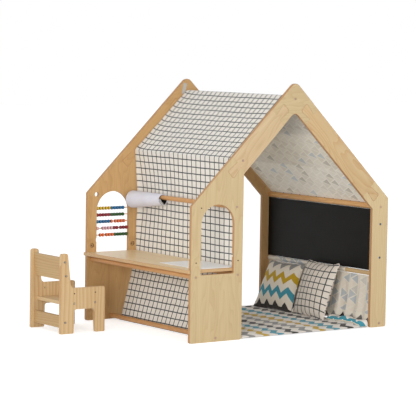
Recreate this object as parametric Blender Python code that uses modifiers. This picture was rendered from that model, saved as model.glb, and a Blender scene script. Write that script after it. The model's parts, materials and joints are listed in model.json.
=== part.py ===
"""Sensory activity desk: a child's playhouse frame with a desk on its front side.

Two plywood gables, each jigsawed from five pieces, stand apart on dowel rails. The desk
is let into grooves in the two front panels, an abacus fills the left arch, a paper roll
hangs on a rod, and a chalkboard, two roof cloths, a skirt, a mat, two pillows and a small
armchair complete the set.

Axes: +Z up, the desk and its chair on the -Y side, +X towards the right gable.
Origin: on the floor, in the middle of the house.
"""
import bpy
import bmesh
from math import atan2, cos, hypot, pi, sin, sqrt
from mathutils import Matrix, Vector

# House, in metres
HOUSE_LENGTH = 1.000
HOUSE_WIDTH = 1.304
EAVE_HEIGHT = 0.700
RIDGE_HEIGHT = 1.334
PLY = 0.018
SEAT_GAP = 0.0003
CUT_OVERRUN = 0.004
WELD_DISTANCE = 0.00002

# Gable pieces
RAFTER_WIDTH = 0.115
FRONT_PANEL_WIDTH = 0.325
BACK_POST_WIDTH = 0.110
RIDGE_ROUNDING = 0.035
INNER_RIDGE_ROUNDING = 0.030
CORNER_ROUNDING = 0.010
CROWN_REACH = 0.211
FRONT_JOINT_INSET = 0.0086
BACK_JOINT_INSET = 0.0687
TONGUE_LENGTH = 0.074
TONGUE_NECK = 0.034
TONGUE_HEAD = 0.054
TONGUE_ROUNDING = 0.010
ARCH_SEGMENTS = 16
CORNER_SEGMENTS = 4

# Arched window in each front panel
WINDOW_CENTRE_FROM_EDGE = 0.1653
WINDOW_WIDTH = 0.2095
WINDOW_SPRING = 0.600
WINDOW_SILL_DROP = 0.028
WINDOW_ROUNDING = 0.006

# Rails
RAIL_RADIUS = 0.0125
EAVE_RAIL_RADIUS = 0.015
RAIL_SIDES = 16
SOCKET_DEPTH = 0.006
BOLT_RADIUS = 0.003
BOLT_HEAD_RADIUS = 0.006
BOLT_HEAD_HEIGHT = 0.0025
BOLT_BITE = 0.004
BOLT_SIDES = 10
HOLE_SIDES = 10

# Rail centres
RIDGE_RAIL_DROP = 0.0925
BEND_RAIL_ABOVE_JOINT = 0.0314
BEND_RAIL_INTO_RAFTER = 0.0590
PAPER_ROD_INTO_PANEL = 0.0405
PAPER_ROD_BELOW_EAVE = 0.012
PAPER_ROD_RADIUS = 0.012
FRONT_RAIL_FROM_EDGE = 0.0315
DESK_RAIL_DROP = 0.028
FOOT_RAIL_FROM_EDGE = 0.160
FOOT_RAIL_HEIGHT = 0.0195
EAVE_RAIL_FROM_EDGE = 0.053
EAVE_RAIL_BELOW_EAVE = 0.045
BACK_FOOT_FROM_EDGE = 0.047
BACK_FOOT_HEIGHT = 0.021
SKIRT_RAIL_BELOW_BOARD = 0.016
SPARE_ROD_FROM_EDGE = 0.060
SPARE_ROD_BELOW_EAVE = 0.010
SPARE_HOLE_RADIUS = 0.0135

# Desk
DESK_THICKNESS = 0.018
DESK_HEIGHT = 0.375
DESK_LIFT = 0.0735
DESK_BACK_INTO_PANEL = 0.008
NOSE_DEPTH = 0.012
NOSE_ROUNDING = 0.003
BACK_RAIL_BEHIND = 0.021
SHEET_LENGTH = 0.345
SHEET_DEPTH = 0.246
SHEET_THICKNESS = 0.002
SHEET_END_MARGIN = 0.005
SHEET_BACK_MARGIN = 0.012

# Chalkboard
BOARD_THICKNESS = 0.018
BOARD_HEIGHT = 0.334
BOARD_TOP_GAP = 0.003
BOARD_BOLT_MARGIN = 0.076

# Abacus in the left arch
ABACUS_ABOVE_SPRING = 0.012
ABACUS_PITCH = 0.0367
ABACUS_ROW_COUNT = 5
ABACUS_ROD_RADIUS = 0.0025
ABACUS_ROD_SEAT = 0.006
ABACUS_ROD_SIDES = 8
BEAD_LENGTH = 0.0182
BEAD_RADIUS = 0.0092
BEAD_TIP_RADIUS = 0.0052
BEAD_SIDES = 10
BEAD_BORE_RADIUS = 0.0034
BEAD_FACET_SHARE = 0.22

# Paper roll, its turns slipped into a slight cone
ROLL_LEFT_MARGIN = 0.020
ROLL_LENGTH = 0.289
ROLL_LEFT_RADIUS = 0.0485
ROLL_RIGHT_RADIUS = 0.0310
PAPER_WALL = 0.0040
CORE_WALL = 0.0015
ROLL_SIDES = 32
ROLL_CLEARANCE = 0.0005

# Cloth
CLOTH = 0.0012
CLOTH_GAP = 0.0006
CLOTH_END_MARGIN = 0.005
CHECK_FLAP_LENGTH = 0.300
CHECK_FOOT_TAPER = 0.080
ROLL_PUSH_MARGIN = 0.003
ROLL_PUSH_ABOVE = 0.027
ROLL_PUSH_BELOW = 0.098
ROLL_PUSH_FADE = 0.200
CLOTH_WAVE = 0.0015
CLOTH_WAVE_PITCH = 0.240
ROOF_HEM = 0.030
SKIRT_FOLD = 0.009
SKIRT_FOLD_TOP_SHARE = 0.20
SKIRT_FOLD_COUNT = 11
SKIRT_FORWARD = 0.033
SLEEVE_RIGHT_END = 0.225
SLEEVE_SIDES = 16
TAB_WIDTH = 0.024
TAB_LENGTH = 0.062
TAB_FROM_CENTRE = 0.0215
TAB_ABOVE_RAIL = 0.0245
TAB_LEAN = 0.20

# Mat and pillows
MAT_THICKNESS = 0.014
MAT_CLEARANCE = 0.003
MAT_ROUNDING = 0.005
PILLOW_THICKNESS = 0.100
PILLOW_CELLS = 14
PILLOW_PULL_SHARE = 0.07
PILLOW_EDGE_POWER = 0.55
CHEVRON_PILLOW_WIDTH = 0.316
CHEVRON_PILLOW_HEIGHT = 0.283
CHEVRON_PILLOW_SPREAD_SHARE = 0.055
CHEVRON_PILLOW_ACROSS = -0.250
CHEVRON_PILLOW_FROM_BOARD = 0.149
CHEVRON_PILLOW_LEAN = 0.37
CHEVRON_PILLOW_TURN = 0.02
CHECK_PILLOW_SIDE = 0.315
CHECK_PILLOW_SPREAD_SHARE = 0
CHECK_PILLOW_ACROSS = 0.078
CHECK_PILLOW_FROM_BOARD = 0.154
CHECK_PILLOW_LEAN = 0.31
CHECK_PILLOW_TURN = -0.10

# Chair
CHAIR_RIGHT_FACE = -0.100
CHAIR_WIDTH = 0.315
CHAIR_BACK_FROM_HOUSE = 0.399
CHAIR_DEPTH = 0.272
CHAIR_HEIGHT = 0.421
CHAIR_ARM_HEIGHT = 0.239
CHAIR_POST_TOP_WIDTH = 0.041
CHAIR_POST_ARM_WIDTH = 0.062
CHAIR_NECK_ROUNDING = 0.024
CHAIR_ROUNDING = 0.012
CHAIR_FOOT_ROUNDING = 0.005
CHAIR_BACK_LEG = 0.080
CHAIR_FRONT_LEG = 0.058
CHAIR_LEG_TAPER = 0.008
CHAIR_ARCH_HEIGHT = 0.126
CHAIR_SEAT_HEIGHT = 0.166
CHAIR_SEAT_BACK = 0.034
CHAIR_SEAT_FRONT = 0.254
CHAIR_SEAT_LIFT = 0.053
CHAIR_BACKREST_BOTTOM = 0.280
CHAIR_BACKREST_HEIGHT = 0.120
CHAIR_BACKREST_SETBACK = 0.0265
CHAIR_BACKREST_LEAN = 0.123
CHAIR_STRETCHER_BOTTOM = 0.028
CHAIR_STRETCHER_HEIGHT = 0.064
CHAIR_STRETCHER_SETBACK = 0.028
CHAIR_SEAT_BOLTS = (0.082, 0.211)
CHAIR_BACKREST_BOLT_PITCH = 0.073

# Worked out from the sizes above
HALF_LENGTH = HOUSE_LENGTH / 2
HALF_WIDTH = HOUSE_WIDTH / 2
INNER_FACE = HALF_LENGTH - PLY
SLOPE = atan2(RIDGE_HEIGHT - EAVE_HEIGHT, HALF_WIDTH)
SLOPE_LENGTH = hypot(RIDGE_HEIGHT - EAVE_HEIGHT, HALF_WIDTH)
PANEL_INNER_EDGE = -(HALF_WIDTH - FRONT_PANEL_WIDTH)
POST_INNER_EDGE = HALF_WIDTH - BACK_POST_WIDTH
WINDOW_CENTRE = -(HALF_WIDTH - WINDOW_CENTRE_FROM_EDGE)
WINDOW_RADIUS = WINDOW_WIDTH / 2
WINDOW_SILL = DESK_HEIGHT - WINDOW_SILL_DROP
FRONT_RAFTER_END = (-PANEL_INNER_EDGE - FRONT_JOINT_INSET + RAFTER_WIDTH * sin(SLOPE)) / cos(SLOPE)
BACK_RAFTER_END = (POST_INNER_EDGE - BACK_JOINT_INSET + RAFTER_WIDTH * sin(SLOPE)) / cos(SLOPE)
HOLE_RADIUS = BOLT_RADIUS + SEAT_GAP
CHAIR_BACK = -(HALF_WIDTH + CHAIR_BACK_FROM_HOUSE)
DESK_BACK = PANEL_INNER_EDGE - DESK_BACK_INTO_PANEL
DESK_CENTRE = DESK_HEIGHT - DESK_THICKNESS / 2
FRONT_RAIL_Y = -(HALF_WIDTH - FRONT_RAIL_FROM_EDGE)
BACK_RAIL_Y = DESK_BACK - BACK_RAIL_BEHIND
DESK_RAIL_Z = DESK_CENTRE - DESK_RAIL_DROP
FOOT_RAIL_Y = -(HALF_WIDTH - FOOT_RAIL_FROM_EDGE)
BOARD_Y = HALF_WIDTH - EAVE_RAIL_FROM_EDGE
BOLT_LENGTH = PLY + BOLT_BITE
RIDGE_RAIL_HEIGHT = RIDGE_HEIGHT - RIDGE_RAIL_DROP
EAVE_RAIL_HEIGHT = EAVE_HEIGHT - EAVE_RAIL_BELOW_EAVE
BOARD_TOP = EAVE_RAIL_HEIGHT - EAVE_RAIL_RADIUS - BOARD_TOP_GAP
BOARD_BOTTOM = BOARD_TOP - BOARD_HEIGHT
SKIRT_RAIL_HEIGHT = BOARD_BOTTOM - SKIRT_RAIL_BELOW_BOARD
PAPER_ROD_Y = PANEL_INNER_EDGE - PAPER_ROD_INTO_PANEL
PAPER_ROD_HEIGHT = EAVE_HEIGHT - PAPER_ROD_BELOW_EAVE
ABACUS_TOP = WINDOW_SPRING + ABACUS_ABOVE_SPRING
ABACUS_ROWS = [ABACUS_TOP - ABACUS_PITCH * row for row in range(ABACUS_ROW_COUNT)]

COLOURS = {
    "birch": ((0.80, 0.62, 0.40, 1.0), 0.50),
    "rail": ((0.72, 0.47, 0.25, 1.0), 0.50),
    "pine": ((0.80, 0.58, 0.34, 1.0), 0.55),
    "steel": ((0.62, 0.65, 0.70, 1.0), 0.30),
    "chalkboard": ((0.025, 0.025, 0.022, 1.0), 0.60),
    "white": ((0.90, 0.90, 0.90, 1.0), 0.45),
    "core": ((0.05, 0.05, 0.05, 1.0), 0.70),
    "cloth": ((0.82, 0.80, 0.75, 1.0), 0.85),
    "tab": ((0.60, 0.58, 0.54, 1.0), 0.85),
    "yellow": ((0.85, 0.60, 0.08, 1.0), 0.35),
    "blue": ((0.04, 0.22, 0.50, 1.0), 0.35),
    "dark_red": ((0.38, 0.02, 0.06, 1.0), 0.35),
    "green": ((0.04, 0.14, 0.03, 1.0), 0.35),
    "orange": ((0.90, 0.20, 0.04, 1.0), 0.35),
    "pink": ((0.80, 0.45, 0.52, 1.0), 0.35),
}

PARTS = None
CUTTERS = None


def clear_scene():
    for thing in list(bpy.data.objects):
        bpy.data.objects.remove(thing, do_unlink=True)


def new_collection(name):
    collection = bpy.data.collections.new(name)
    bpy.context.scene.collection.children.link(collection)
    return collection


def material(name):
    found = bpy.data.materials.get(name)
    if found:
        return found
    colour, roughness = COLOURS[name]
    made = bpy.data.materials.new(name)
    made.use_nodes = True
    shader = made.node_tree.nodes["Principled BSDF"]
    shader.inputs["Base Color"].default_value = colour
    shader.inputs["Roughness"].default_value = roughness
    shader.inputs["Metallic"].default_value = 1.0 if name == "steel" else 0.0
    made.diffuse_color = colour
    return made


def finish_part(thing, finish, smooth=False):
    """File a finished sub-part under the desk's collection with its material."""
    PARTS.objects.link(thing)
    thing.data.materials.clear()
    thing.data.materials.append(material(finish))
    if smooth:
        thing.data.shade_smooth()
        thing.data.set_sharp_from_angle(angle=pi / 5)
    return thing


def finish_cutter(thing):
    CUTTERS.objects.link(thing)
    thing.hide_render = True
    thing.display_type = "WIRE"
    return thing


def combine(thing, other, operation):
    step = thing.modifiers.new(operation.lower() + "_" + other.name, "BOOLEAN")
    step.operation = operation
    step.object = other


def cut(thing, cutter):
    combine(thing, cutter, "DIFFERENCE")


# Outlines, drawn in the plane of a board as (across, up) pairs

def rounded(corners):
    """Turn (across, up, radius) corners into points, with an arc at each radius."""
    points = []
    count = len(corners)
    for i, (x, y, radius) in enumerate(corners):
        here = Vector((x, y))
        if radius == 0:
            points.append((x, y))
            continue
        before = (Vector(corners[i - 1][:2]) - here).normalized()
        after = (Vector(corners[(i + 1) % count][:2]) - here).normalized()
        half_angle = before.angle(after) / 2
        reach = radius / (sin(half_angle) / cos(half_angle))
        centre = here + (before + after).normalized() * (radius / sin(half_angle))
        first = here + before * reach - centre
        last = here + after * reach - centre
        turn = atan2(first.x * last.y - first.y * last.x, first.dot(last))
        for step in range(CORNER_SEGMENTS + 1):
            angle = turn * step / CORNER_SEGMENTS
            spoke = Vector((first.x * cos(angle) - first.y * sin(angle),
                            first.x * sin(angle) + first.y * cos(angle)))
            points.append(tuple(centre + spoke))
    return points


def circle(across, up, radius, sides):
    return [(across + radius * cos(2 * pi * i / sides), up + radius * sin(2 * pi * i / sides))
            for i in range(sides)]


def board(name, outlines, thickness, placement):
    """A flat board: closed outlines filled and extruded, then turned into place."""
    curve = bpy.data.curves.new(name, "CURVE")
    curve.dimensions = "2D"
    curve.fill_mode = "BOTH"
    curve.extrude = thickness / 2
    for outline in outlines:
        spline = curve.splines.new("POLY")
        spline.points.add(len(outline) - 1)
        spline.use_cyclic_u = True
        for point, (x, y) in zip(spline.points, outline):
            point.co = (x, y, 0, 1)
    shape = bpy.data.objects.new(name + "_outline", curve)
    bpy.context.scene.collection.objects.link(shape)
    shape.matrix_world = placement
    depsgraph = bpy.context.evaluated_depsgraph_get()
    mesh = bpy.data.meshes.new_from_object(shape.evaluated_get(depsgraph))
    solid = bmesh.new()
    solid.from_mesh(mesh)
    bmesh.ops.remove_doubles(solid, verts=solid.verts, dist=WELD_DISTANCE)
    bmesh.ops.recalc_face_normals(solid, faces=solid.faces)
    solid.to_mesh(mesh)
    solid.free()
    bpy.data.objects.remove(shape, do_unlink=True)
    thing = bpy.data.objects.new(name, mesh)
    thing.matrix_world = placement
    return thing


def facing_x(x):
    """Board lying in a YZ plane: its across is +Y, its up is +Z, its thickness is along X."""
    return Matrix(((0, 0, 1, x), (1, 0, 0, 0), (0, 1, 0, 0), (0, 0, 0, 1)))


def lying(z):
    """Board lying flat: its across is +X, its up is +Y."""
    return Matrix.Translation((0, 0, z))


def turned(name, profile, sides, placement):
    """A turned piece: a closed (radius, along) profile spun about the piece's own Z."""
    mesh = bpy.data.meshes.new(name)
    solid = bmesh.new()
    rim = [solid.verts.new((radius, 0, along)) for radius, along in profile]
    edges = [solid.edges.new(pair) for pair in zip(rim, rim[1:])]
    if profile[0][0] > 0:
        edges.append(solid.edges.new((rim[-1], rim[0])))
    bmesh.ops.spin(solid, geom=rim + edges, cent=(0, 0, 0), axis=(0, 0, 1), angle=2 * pi,
                   steps=sides, use_merge=True, use_duplicate=False)
    bmesh.ops.remove_doubles(solid, verts=solid.verts, dist=WELD_DISTANCE)
    bmesh.ops.recalc_face_normals(solid, faces=solid.faces)
    solid.to_mesh(mesh)
    solid.free()
    thing = bpy.data.objects.new(name, mesh)
    thing.matrix_world = placement
    return thing


def along_x(x, y, z):
    """Placement whose own Z runs along +X."""
    return Matrix(((0, 0, 1, x), (1, 0, 0, y), (0, 1, 0, z), (0, 0, 0, 1)))


def along_minus_x(x, y, z):
    """Placement whose own Z runs along -X."""
    return Matrix(((0, 0, -1, x), (1, 0, 0, y), (0, -1, 0, z), (0, 0, 0, 1)))


def along_y(x, y, z):
    """Placement whose own Z runs along +Y."""
    return Matrix(((0, 1, 0, x), (0, 0, 1, y), (1, 0, 0, z), (0, 0, 0, 1)))


def joined(name, things):
    """Several separate solids in one object, such as a set of bolts."""
    mesh = bpy.data.meshes.new(name)
    solid = bmesh.new()
    for thing in things:
        copy = thing.data.copy()
        copy.transform(thing.matrix_world)
        solid.from_mesh(copy)
        bpy.data.meshes.remove(copy)
        bpy.data.objects.remove(thing, do_unlink=True)
    solid.to_mesh(mesh)
    solid.free()
    return bpy.data.objects.new(name, mesh)


def cylinder(name, radius, start, end, sides, placement):
    return turned(name, [(0, start), (radius, start), (radius, end), (0, end)], sides, placement)


def block(name, low, high, bevel=0, segments=2):
    """A box between two corners, with its edges rounded."""
    mesh = bpy.data.meshes.new(name)
    solid = bmesh.new()
    bmesh.ops.create_cube(solid, size=1)
    size = [b - a for a, b in zip(low, high)]
    middle = [(a + b) / 2 for a, b in zip(low, high)]
    bmesh.ops.scale(solid, vec=size, verts=solid.verts)
    solid.to_mesh(mesh)
    solid.free()
    thing = bpy.data.objects.new(name, mesh)
    thing.location = middle
    if bevel:
        rounding = thing.modifiers.new("rounding", "BEVEL")
        rounding.width = bevel
        rounding.segments = segments
    return thing


# Gables

def on_slope(side, down, into):
    """Point at a distance down the roof slope from the ridge and in from its outer edge."""
    y = side * (down * cos(SLOPE) - into * sin(SLOPE))
    z = RIDGE_HEIGHT - down * sin(SLOPE) - into * cos(SLOPE)
    return y, z


def inner_slope_height(y):
    return RIDGE_HEIGHT - RAFTER_WIDTH / cos(SLOPE) - abs(y) * sin(SLOPE) / cos(SLOPE)


def tongue(side, shoulder, direction, grow):
    """Joint line from the outer edge to the inner one, with its dovetail in the middle.

    The tongue points down the slope where direction is 1 and up it where it is -1.
    grow widens the line evenly, for the piece that holds the socket.
    """
    middle = RAFTER_WIDTH / 2
    neck = TONGUE_NECK / 2 + grow
    head = TONGUE_HEAD / 2 + grow
    start = shoulder + direction * grow
    end = shoulder + direction * (TONGUE_LENGTH + grow)
    steps = [(start, 0, 0), (start, middle - neck, 0), (end, middle - head, TONGUE_ROUNDING),
             (end, middle + head, TONGUE_ROUNDING), (start, middle + neck, 0),
             (start, RAFTER_WIDTH, 0)]
    return [(*on_slope(side, down, into), radius) for down, into, radius in steps]


def crown_outline():
    right = tongue(1, CROWN_REACH, -1, SEAT_GAP)
    left = tongue(-1, CROWN_REACH, -1, SEAT_GAP)
    inner_ridge = (0, inner_slope_height(0), INNER_RIDGE_ROUNDING)
    return rounded([(0, RIDGE_HEIGHT, RIDGE_ROUNDING)] + right + [inner_ridge] + left[::-1])


def rafter_outline(side, lower_end):
    top = tongue(side, CROWN_REACH, -1, 0)
    bottom = tongue(side, lower_end, 1, 0)
    return rounded(top + bottom[::-1])


def upright_outline(side, joint, inner_edge):
    """Front panel or back post, from its rafter joint down to the floor."""
    socket = tongue(side, joint, 1, SEAT_GAP)
    eave = (side * HALF_WIDTH, EAVE_HEIGHT, CORNER_ROUNDING)
    outer_foot = (side * HALF_WIDTH, 0, CORNER_ROUNDING)
    inner_foot = (inner_edge, 0, CORNER_ROUNDING)
    knee = (inner_edge, inner_slope_height(inner_edge), 0)
    return rounded(socket[::-1] + [eave, outer_foot, inner_foot, knee])


def window_outline():
    low = [(WINDOW_CENTRE - WINDOW_RADIUS, WINDOW_SILL, WINDOW_ROUNDING),
           (WINDOW_CENTRE + WINDOW_RADIUS, WINDOW_SILL, WINDOW_ROUNDING)]
    arc = []
    for step in range(ARCH_SEGMENTS + 1):
        angle = pi * step / ARCH_SEGMENTS
        arc.append((WINDOW_CENTRE + WINDOW_RADIUS * cos(angle),
                    WINDOW_SPRING + WINDOW_RADIUS * sin(angle), 0))
    return rounded(low + arc)


# Rails as (y, z, radius, bolted)
FRONT_RAILS = {
    "paper_rod": (PAPER_ROD_Y, PAPER_ROD_HEIGHT, PAPER_ROD_RADIUS, True),
    "desk_front_rail": (FRONT_RAIL_Y, DESK_RAIL_Z, RAIL_RADIUS, True),
    "desk_back_rail": (BACK_RAIL_Y, DESK_RAIL_Z, RAIL_RADIUS, True),
    "front_foot_rail": (FOOT_RAIL_Y, FOOT_RAIL_HEIGHT, RAIL_RADIUS, True),
}
SPARE_SOCKETS = [(FRONT_RAIL_Y, DESK_RAIL_Z + DESK_LIFT, RAIL_RADIUS, True),
                 (BACK_RAIL_Y, DESK_RAIL_Z + DESK_LIFT, RAIL_RADIUS, True)]
SPARE_ROD = (-(HALF_WIDTH - SPARE_ROD_FROM_EDGE), EAVE_HEIGHT - SPARE_ROD_BELOW_EAVE, RAIL_RADIUS, True)
RIDGE_RAIL = (0, RIDGE_RAIL_HEIGHT, RAIL_RADIUS, True)
BEND_RAIL_PLACE = on_slope(-1, FRONT_RAFTER_END - BEND_RAIL_ABOVE_JOINT, BEND_RAIL_INTO_RAFTER)
BEND_RAIL = (*BEND_RAIL_PLACE, RAIL_RADIUS, True)
EAVE_RAIL = (BOARD_Y, EAVE_RAIL_HEIGHT, EAVE_RAIL_RADIUS, True)
SKIRT_RAIL = (BOARD_Y, SKIRT_RAIL_HEIGHT, RAIL_RADIUS, False)
BACK_FOOT_RAIL = (HALF_WIDTH - BACK_FOOT_FROM_EDGE, BACK_FOOT_HEIGHT, RAIL_RADIUS, True)
BOARD_BOLTS = [(BOARD_Y, BOARD_TOP - BOARD_BOLT_MARGIN), (BOARD_Y, BOARD_BOTTOM + BOARD_BOLT_MARGIN)]


def socket_cutter(name, sign, rails, through=()):
    """Cutter for one gable piece: a blind socket and a bolt hole for each rail that ends there.

    through lists the (y, z, radius) of plain holes.
    """
    place = along_x if sign > 0 else along_minus_x
    face = sign * INNER_FACE
    outside = PLY + CUT_OVERRUN
    pins = []
    for y, z, radius, bolted in rails:
        socket = radius + SEAT_GAP
        profile = [(0, SOCKET_DEPTH), (socket, SOCKET_DEPTH), (socket, -CUT_OVERRUN), (0, -CUT_OVERRUN)]
        if bolted:
            profile = [(0, outside), (HOLE_RADIUS, outside), (HOLE_RADIUS, SOCKET_DEPTH)] + profile[1:]
        pins.append(turned("socket", profile, RAIL_SIDES, place(face, y, z)))
    for y, z, radius in through:
        pins.append(cylinder("hole", radius, -CUT_OVERRUN, outside, RAIL_SIDES, place(face, y, z)))
    return finish_cutter(joined(name, pins))


def groove_cutter(name, sign, centre_height):
    """Housing groove for the desk board, run right across the front panel's inner face."""
    half = DESK_THICKNESS / 2 + SEAT_GAP
    face = sign * INNER_FACE
    ends = sorted((face - sign * CUT_OVERRUN, face + sign * SOCKET_DEPTH))
    return finish_cutter(block(name, (ends[0], -HALF_WIDTH - CUT_OVERRUN, centre_height - half),
                               (ends[1], PANEL_INNER_EDGE + CUT_OVERRUN, centre_height + half)))


def abacus_seats():
    reach = WINDOW_RADIUS + ABACUS_ROD_SEAT + SEAT_GAP
    x = -(HALF_LENGTH - PLY / 2)
    pins = [cylinder("seat", ABACUS_ROD_RADIUS + SEAT_GAP, -reach, reach, ABACUS_ROD_SIDES,
                     along_y(x, WINDOW_CENTRE, height)) for height in ABACUS_ROWS]
    return finish_cutter(joined("abacus_seats", pins))


def make_gable(word, sign):
    """Five jigsaw pieces of one gable. sign is -1 for the left gable and 1 for the right."""
    middle = facing_x(sign * (HALF_LENGTH - PLY / 2))

    crown = board(word + "_gable_crown", [crown_outline()], PLY, middle)
    cut(crown, socket_cutter(word + "_crown_socket", sign, [RIDGE_RAIL]))
    finish_part(crown, "birch")

    front_rafter = board(word + "_front_rafter", [rafter_outline(-1, FRONT_RAFTER_END)], PLY, middle)
    cut(front_rafter, socket_cutter(word + "_rafter_socket", sign, [BEND_RAIL]))
    finish_part(front_rafter, "birch")

    back_rafter = board(word + "_back_rafter", [rafter_outline(1, BACK_RAFTER_END)], PLY, middle)
    finish_part(back_rafter, "birch")

    rails = list(FRONT_RAILS.values()) + SPARE_SOCKETS
    through = [(*SPARE_ROD[:2], SPARE_HOLE_RADIUS)] if sign < 0 else []
    if sign > 0:
        rails.append(SPARE_ROD)
    panel = board(word + "_front_panel",
                  [upright_outline(-1, FRONT_RAFTER_END, PANEL_INNER_EDGE), window_outline()], PLY, middle)
    cut(panel, socket_cutter(word + "_panel_sockets", sign, rails, through))
    cut(panel, groove_cutter(word + "_groove", sign, DESK_CENTRE))
    cut(panel, groove_cutter(word + "_spare_groove", sign, DESK_CENTRE + DESK_LIFT))
    if sign < 0:
        cut(panel, abacus_seats())
    finish_part(panel, "birch")

    post = board(word + "_back_post", [upright_outline(1, BACK_RAFTER_END, POST_INNER_EDGE)], PLY, middle)
    board_bolts = [(y, z, HOLE_RADIUS) for y, z in BOARD_BOLTS]
    rails = [EAVE_RAIL, BACK_FOOT_RAIL, SKIRT_RAIL]
    cut(post, socket_cutter(word + "_post_sockets", sign, rails, board_bolts))
    finish_part(post, "birch")


# Rails, bolts and boards between the gables

def make_rail(name, y, z, radius, bolted):
    """A dowel rail let into both gables, turned in one with the bolt that holds each end."""
    end = INNER_FACE + SOCKET_DEPTH - SEAT_GAP
    head = HALF_LENGTH + SEAT_GAP
    profile = [(0, end), (radius, end)]
    if bolted:
        profile = [(0, head + BOLT_HEAD_HEIGHT), (BOLT_HEAD_RADIUS, head + BOLT_HEAD_HEIGHT),
                   (BOLT_HEAD_RADIUS, head), (BOLT_RADIUS, head), (BOLT_RADIUS, end), (radius, end)]
    profile += [(distance, -along) for distance, along in reversed(profile)]
    return finish_part(turned(name, profile, RAIL_SIDES, along_x(0, y, z)), "rail", smooth=True)


def bolts_for(name, places, left_face, right_face):
    """Button-head bolts through both side panels into a board, as one set to join to it."""
    head = BOLT_HEAD_HEIGHT + SEAT_GAP
    profile = [(0, head), (BOLT_HEAD_RADIUS, head), (BOLT_HEAD_RADIUS, SEAT_GAP),
               (BOLT_RADIUS, SEAT_GAP), (BOLT_RADIUS, -BOLT_LENGTH), (0, -BOLT_LENGTH)]
    bolts = []
    for y, z in places:
        bolts.append(turned("bolt", profile, BOLT_SIDES, along_x(right_face, y, z)))
        bolts.append(turned("bolt", profile, BOLT_SIDES, along_minus_x(left_face, y, z)))
    return finish_cutter(joined(name + "_bolts", bolts))


def make_desk_top():
    """Desk board with ears: its ends sit in the grooves and its nose runs past both gables."""
    end = INNER_FACE + SOCKET_DEPTH - SEAT_GAP
    shoulder = -HALF_WIDTH - SEAT_GAP
    nose = -HALF_WIDTH - NOSE_DEPTH
    corners = [(-end, DESK_BACK, 0), (-end, shoulder, 0), (-HALF_LENGTH, shoulder, 0),
               (-HALF_LENGTH, nose, NOSE_ROUNDING), (HALF_LENGTH, nose, NOSE_ROUNDING),
               (HALF_LENGTH, shoulder, 0), (end, shoulder, 0), (end, DESK_BACK, 0)]
    return finish_part(board("desk_top", [rounded(corners)], DESK_THICKNESS, lying(DESK_CENTRE)), "birch")


def make_drawing_sheet():
    """Thin white drawing board that lies loose on the desk's right half."""
    right = INNER_FACE - SHEET_END_MARGIN
    left = right - SHEET_LENGTH
    back = DESK_BACK - SHEET_BACK_MARGIN
    front = back - SHEET_DEPTH
    middle = lying(DESK_HEIGHT + SEAT_GAP + SHEET_THICKNESS / 2)
    corners = [(left, back, NOSE_ROUNDING), (left, front, NOSE_ROUNDING),
               (right, front, NOSE_ROUNDING), (right, back, NOSE_ROUNDING)]
    return finish_part(board("drawing_board", [rounded(corners)], SHEET_THICKNESS, middle), "white")


def make_chalkboard():
    half = BOARD_THICKNESS / 2
    end = INNER_FACE - SEAT_GAP
    panel = block("chalkboard", (-end, BOARD_Y - half, BOARD_BOTTOM), (end, BOARD_Y + half, BOARD_TOP))
    combine(panel, bolts_for("chalkboard", BOARD_BOLTS, -HALF_LENGTH, HALF_LENGTH), "UNION")
    return finish_part(panel, "chalkboard")


# Abacus

def half_chord(height):
    """Half the clear width of the arch at a height."""
    rise = max(0, height - WINDOW_SPRING)
    return sqrt(WINDOW_RADIUS ** 2 - rise ** 2)


def make_abacus_rods():
    x = -(HALF_LENGTH - PLY / 2)
    for row, height in enumerate(ABACUS_ROWS, 1):
        reach = WINDOW_RADIUS + ABACUS_ROD_SEAT
        rod = cylinder(f"abacus_rod_{row}", ABACUS_ROD_RADIUS, -reach, reach, ABACUS_ROD_SIDES,
                       along_y(x, WINDOW_CENTRE, height))
        finish_part(rod, "rail", smooth=True)


def bead_string(name, count, y, height):
    """Beads of one colour that lie face to face on a rod, turned from one profile."""
    shoulder = BEAD_LENGTH * (1 - BEAD_FACET_SHARE) / 2
    profile = [(BEAD_BORE_RADIUS, 0)]
    for first_face in (BEAD_LENGTH * i for i in range(count)):
        profile += [(BEAD_TIP_RADIUS, first_face), (BEAD_RADIUS, first_face + shoulder),
                    (BEAD_RADIUS, first_face + BEAD_LENGTH - shoulder)]
    end = BEAD_LENGTH * count
    profile += [(BEAD_TIP_RADIUS, end), (BEAD_BORE_RADIUS, end)]
    return turned(name, profile, BEAD_SIDES, along_y(-(HALF_LENGTH - PLY / 2), y, height))


# Each row holds groups of beads that lie together, as (share, [(word, colour, count), ...]).
# The share says how much of the row's spare rod length lies before the group.
BEAD_ROW_SHARES = [
    [(0.04, [("yellow", "yellow", 5), ("blue", "blue", 5)])],
    [(0.04, [("red", "dark_red", 5), ("green", "green", 5)])],
    [(0.04, [("blue", "blue", 5), ("orange_single", "orange", 1)]), (0.32, [("orange", "orange", 4)])],
    [(0.04, [("pink_single", "pink", 1)]), (0.70, [("pink", "pink", 4), ("red_pair", "dark_red", 2)]),
     (0.92, [("red", "dark_red", 3)])],
    [(0.73, [("orange_pair", "orange", 2)]), (0.91, [("orange", "orange", 3), ("green", "green", 5)])],
]


def make_beads():
    for row, (height, groups) in enumerate(zip(ABACUS_ROWS, BEAD_ROW_SHARES), 1):
        counts = [count for _, colours in groups for _, _, count in colours]
        spare = 2 * half_chord(height) - sum(counts) * BEAD_LENGTH - len(counts) * SEAT_GAP
        threaded = 0
        for share, colours in groups:
            for word, colour, count in colours:
                start = WINDOW_CENTRE - half_chord(height) + spare * share + threaded
                name = f"row{row}_{word}_beads"
                finish_part(bead_string(name, count, start, height), colour, smooth=True)
                threaded += count * BEAD_LENGTH + SEAT_GAP
            print("abacus row", row, "share", share, "spare length", round(spare, 5))


# Paper roll

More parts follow.
